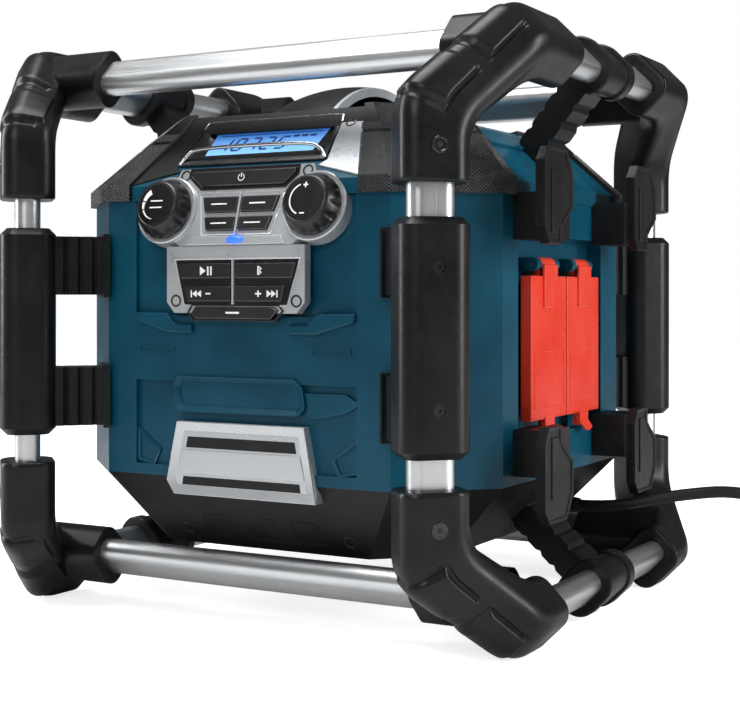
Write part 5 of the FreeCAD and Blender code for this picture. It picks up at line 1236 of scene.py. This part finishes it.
def make_cover_details():
    """Tapered hinge straps, finger tabs and shallow outlines on the red covers."""
    for name, y0, y1 in (("front", -75.75, -6.75), ("rear", -5.25, 63.75)):
        middle = (y0 + y1) / 2
        body = "cover_" + name
        slab(body + "_plate", COVER, box(y0 + 0.2, y1 - 0.2, 155.2, 261.8), -7.8, 0.5, "red", body, 1.4, 4)
        strap = [(middle - 13, COVER_AXIS_Z), (middle + 13, COVER_AXIS_Z), (middle + 13, 262),
                 (middle + 6, 238), (middle - 13, 238)]
        slab(body + "_strap", COVER, strap, -3, 2.4, "red", body, 1.2)
        frame_ring(body + "_line_0", COVER, box(y0 + 6, y1 - 6, 163, 206), 0.9, 0.0, 1.0, "red", body)
        pin = Plane((COVER_AXIS_X, middle, COVER_AXIS_Z), RIGHT, UP, -FRONT)
        turned_shape(body + "_knuckle", pin, (0, 0), KNUCKLE, "red", body, around=40)
        rows, columns = 14, 18
        rise = np.linspace(0, 1, rows)[:, None]
        across = np.linspace(-1, 1, columns)[None, :]
        lip_out = -4 + 9 * rise ** 1.6 + 0 * across
        lip_z = 157 - 14 * rise - 2.5 * (1 - across ** 2) * rise
        lip_y = middle + across * (9.5 - 2.0 * rise ** 3)
        points = COVER.at(np.stack([lip_y, lip_z, lip_out], axis=-1).reshape(-1, 3))
        faces = ring_faces(rows, columns, closed_around=False)
        tab = add_mesh(body + "_tab", points, faces, "red", body, smooth_to=60)
        thick = tab.modifiers.new("wall", "SOLIDIFY")
        thick.thickness = 2.0 * MM
        thick.offset = 0.0
        edge = tab.modifiers.new("edge", "BEVEL")
        edge.width = 0.6 * MM
        edge.segments = 2


def make_cleat_details():
    """A rim and a raised field on the outer face of every cleat."""
    half = 27.0
    for (end, sy), (level, sign) in product(ENDS, LEVELS):
        tip = sy * 94.0
        far = 353.0 if sign > 0 else 86.0
        near = far - sign * 69.0
        name = "%s_%s" % (level, end)
        outline = [(tip - half, far - sign * 10), (tip - half + 9, far), (tip + half - 12, far),
                   (tip + half, far - sign * 18), (tip + half, far - sign * 42),
                   (tip + half - 22, near + sign * 12), (tip + half - 22, near), (tip - half + 8, near),
                   (tip - half, near + sign * 12)]
        frame_ring("cleat_rim_" + name, CLEAT, inset(outline, 0.3), 2.6, -0.5, 1.3, "black", slope=0.5,
                   bevel=0.5)
        field = [(tip - 13, far - sign * 17), (tip + 13, far - sign * 17), (tip + 13, far - sign * 38),
                 (tip - 2, near + sign * 8), (tip - 13, near + sign * 8)]
        slab("cleat_field_" + name, CLEAT, field, -0.5, 1.0, "black", bevel=0.6)


def make_roof_details():
    """The stepped panel and a near-black sheet as the painted shade of the slot on each side slope
    of the roof, and the dark plate on the upper front slope, over the display."""
    for name, sx in SIDES:
        plane = slope_plane((sx * EAVE_HALF[0], 0, EAVE_Z), (sx * TIER_HALF[0], 0, TIER_Z))
        step = [(-84, 57), (-78, 41), (74, 41), (80, 57)]
        slab("roof_step_" + name, plane, step, -1, 1.8, "teal", bevel=0.9)
        # Painted shade: a near-black sheet stands for the slot
        slot = [(-46, 24), (-40, 17), (-38, 18), (-43, 25)]
        slab("roof_slot_shade_" + name, plane, slot, -0.5, 0.15, "painted_shade_and_screws", bevel=0.0)
    plane = slope_plane((0, -TIER_HALF[1], TIER_Z), (0, -TOP_HALF[1], TOP_Z))
    rise = math.hypot(TIER_HALF[1] - TOP_HALF[1], TOP_Z - TIER_Z)
    low, high = TIER_HALF[2] - 1, TOP_HALF[2] - 1
    brow = [(-low, 0.5), (low, 0.5), (high, rise), (-high, rise)]
    slab("roof_brow", plane, brow, -1, 1.2, "black", bevel=0.6)


def make_clamp_details():
    """Two dark collars near the ends of every rail clamp."""
    around = 48
    turn = full_turn(around)
    for (level, sz), (side, sx) in product(LEVELS, SIDES):
        centre = np.array([sx * SIDE_X, 0.0, SIDE_TOP if sz > 0 else SIDE_LOW])
        deep_way = np.array([sx, 0.0, sz]) / math.sqrt(2)
        wide_way = np.cross(-FRONT, deep_way)
        for number, (y0, y1) in enumerate(((-27.0, -15.0), (15.0, 27.0))):
            rings = []
            for y, grow in ((y0, 2.0), (y0, 13.0), (y0 + 1.2, 15.6), (y1 - 1.2, 15.6), (y1, 13.0), (y1, 2.0)):
                flat = oval(turn, 32 + grow, 19 + grow, 8.5 + grow / 2)
                rings.append(centre - FRONT * y + flat @ np.array([wide_way, deep_way]))
            faces = ring_faces(len(rings), around)
            if sx * sz > 0:
                faces = reverse(faces)
            add_mesh("collar_%s_%s_%d" % (level, side, number), np.concatenate(rings), faces, "rubber",
                     "frame", smooth_to=40)


make_keys()
make_signs()
make_panel_details()
make_knobs()
make_lamp()
make_display()
make_port()
make_front_relief()
make_base_details()
make_grilles()
make_elbows()
make_cover_details()
make_cleat_details()
make_roof_details()
make_clamp_details()


# Floor, backdrop and lamps


def make_stage():
    """A pale floor that shows brighter to the camera the further out it lies, and a world
    that is white to the camera and a dim light to all else."""
    mesh = bpy.data.meshes.new("floor")
    reach = 6.0
    corners = [(-reach, -reach, 0), (reach, -reach, 0), (reach, reach, 0), (-reach, reach, 0)]
    mesh.from_pydata(corners, [], [(0, 1, 2, 3)])
    floor = bpy.data.objects.new("floor", mesh)
    bpy.context.scene.collection.objects.link(floor)
    m = Recipe("floor_white")
    m.set(Base_Color=(0.80, 0.80, 0.80, 1), Roughness=0.9)
    path = m.add("ShaderNodeLightPath")
    away = m.add("ShaderNodeVectorMath", operation="LENGTH")
    m.join(m.place(), away.inputs[0])
    glow = m.spread(away.outputs["Value"], 0.76, 1.0, 0.7, 1.5)
    white = m.add("ShaderNodeEmission", Color=(1, 1, 1, 1), Strength=glow)
    add = m.add("ShaderNodeAddShader")
    m.join(m.shader.outputs["BSDF"], add.inputs[0])
    m.join(white.outputs["Emission"], add.inputs[1])
    mixer = m.add("ShaderNodeMixShader")
    m.join(path.outputs["Is Camera Ray"], mixer.inputs[0])
    m.join(m.shader.outputs["BSDF"], mixer.inputs[1])
    m.join(add.outputs["Shader"], mixer.inputs[2])
    m.join(mixer.outputs["Shader"], m.tree.nodes["Material Output"].inputs["Surface"])
    mesh.materials.append(m.material)

    world = bpy.data.worlds.new("studio")
    bpy.context.scene.world = world
    world.use_nodes = True
    tree = world.node_tree
    plain = tree.nodes["Background"]
    plain.inputs["Color"].default_value = (1, 1, 1, 1)
    plain.inputs["Strength"].default_value = 0.12
    shown = tree.nodes.new("ShaderNodeBackground")
    shown.inputs["Color"].default_value = (1, 1, 1, 1)
    shown.inputs["Strength"].default_value = 1.0
    path = tree.nodes.new("ShaderNodeLightPath")
    mixer = tree.nodes.new("ShaderNodeMixShader")
    tree.links.new(path.outputs["Is Camera Ray"], mixer.inputs[0])
    tree.links.new(plain.outputs[0], mixer.inputs[1])
    tree.links.new(shown.outputs[0], mixer.inputs[2])
    tree.links.new(mixer.outputs[0], tree.nodes["World Output"].inputs["Surface"])


def lamp(name, place, aim, width, height, power):
    """A soft area lamp aimed at a point."""
    data = bpy.data.lights.new(name, "AREA")
    data.shape = "RECTANGLE"
    data.size = width
    data.size_y = height
    data.energy = power
    light = bpy.data.objects.new(name, data)
    bpy.context.scene.collection.objects.link(light)
    light.location = place
    light.rotation_euler = (Vector(aim) - Vector(place)).to_track_quat("-Z", "Y").to_euler()


make_stage()
# What the lamps are aimed at, in metres
AIM = (0, 0, 0.22)
lamp("top_soft", (-0.2, -0.4, 1.9), AIM, 1.1, 1.1, 38)
lamp("left_strip", (-1.7, -0.5, 0.8), AIM, 0.4, 1.4, 22)
lamp("right_strip", (1.9, 0.2, 0.8), AIM, 0.4, 1.5, 34)
lamp("front_fill", (0.5, -2.3, 1.2), AIM, 1.0, 0.7, 17)

bpy.context.scene.view_settings.view_transform = "Standard"
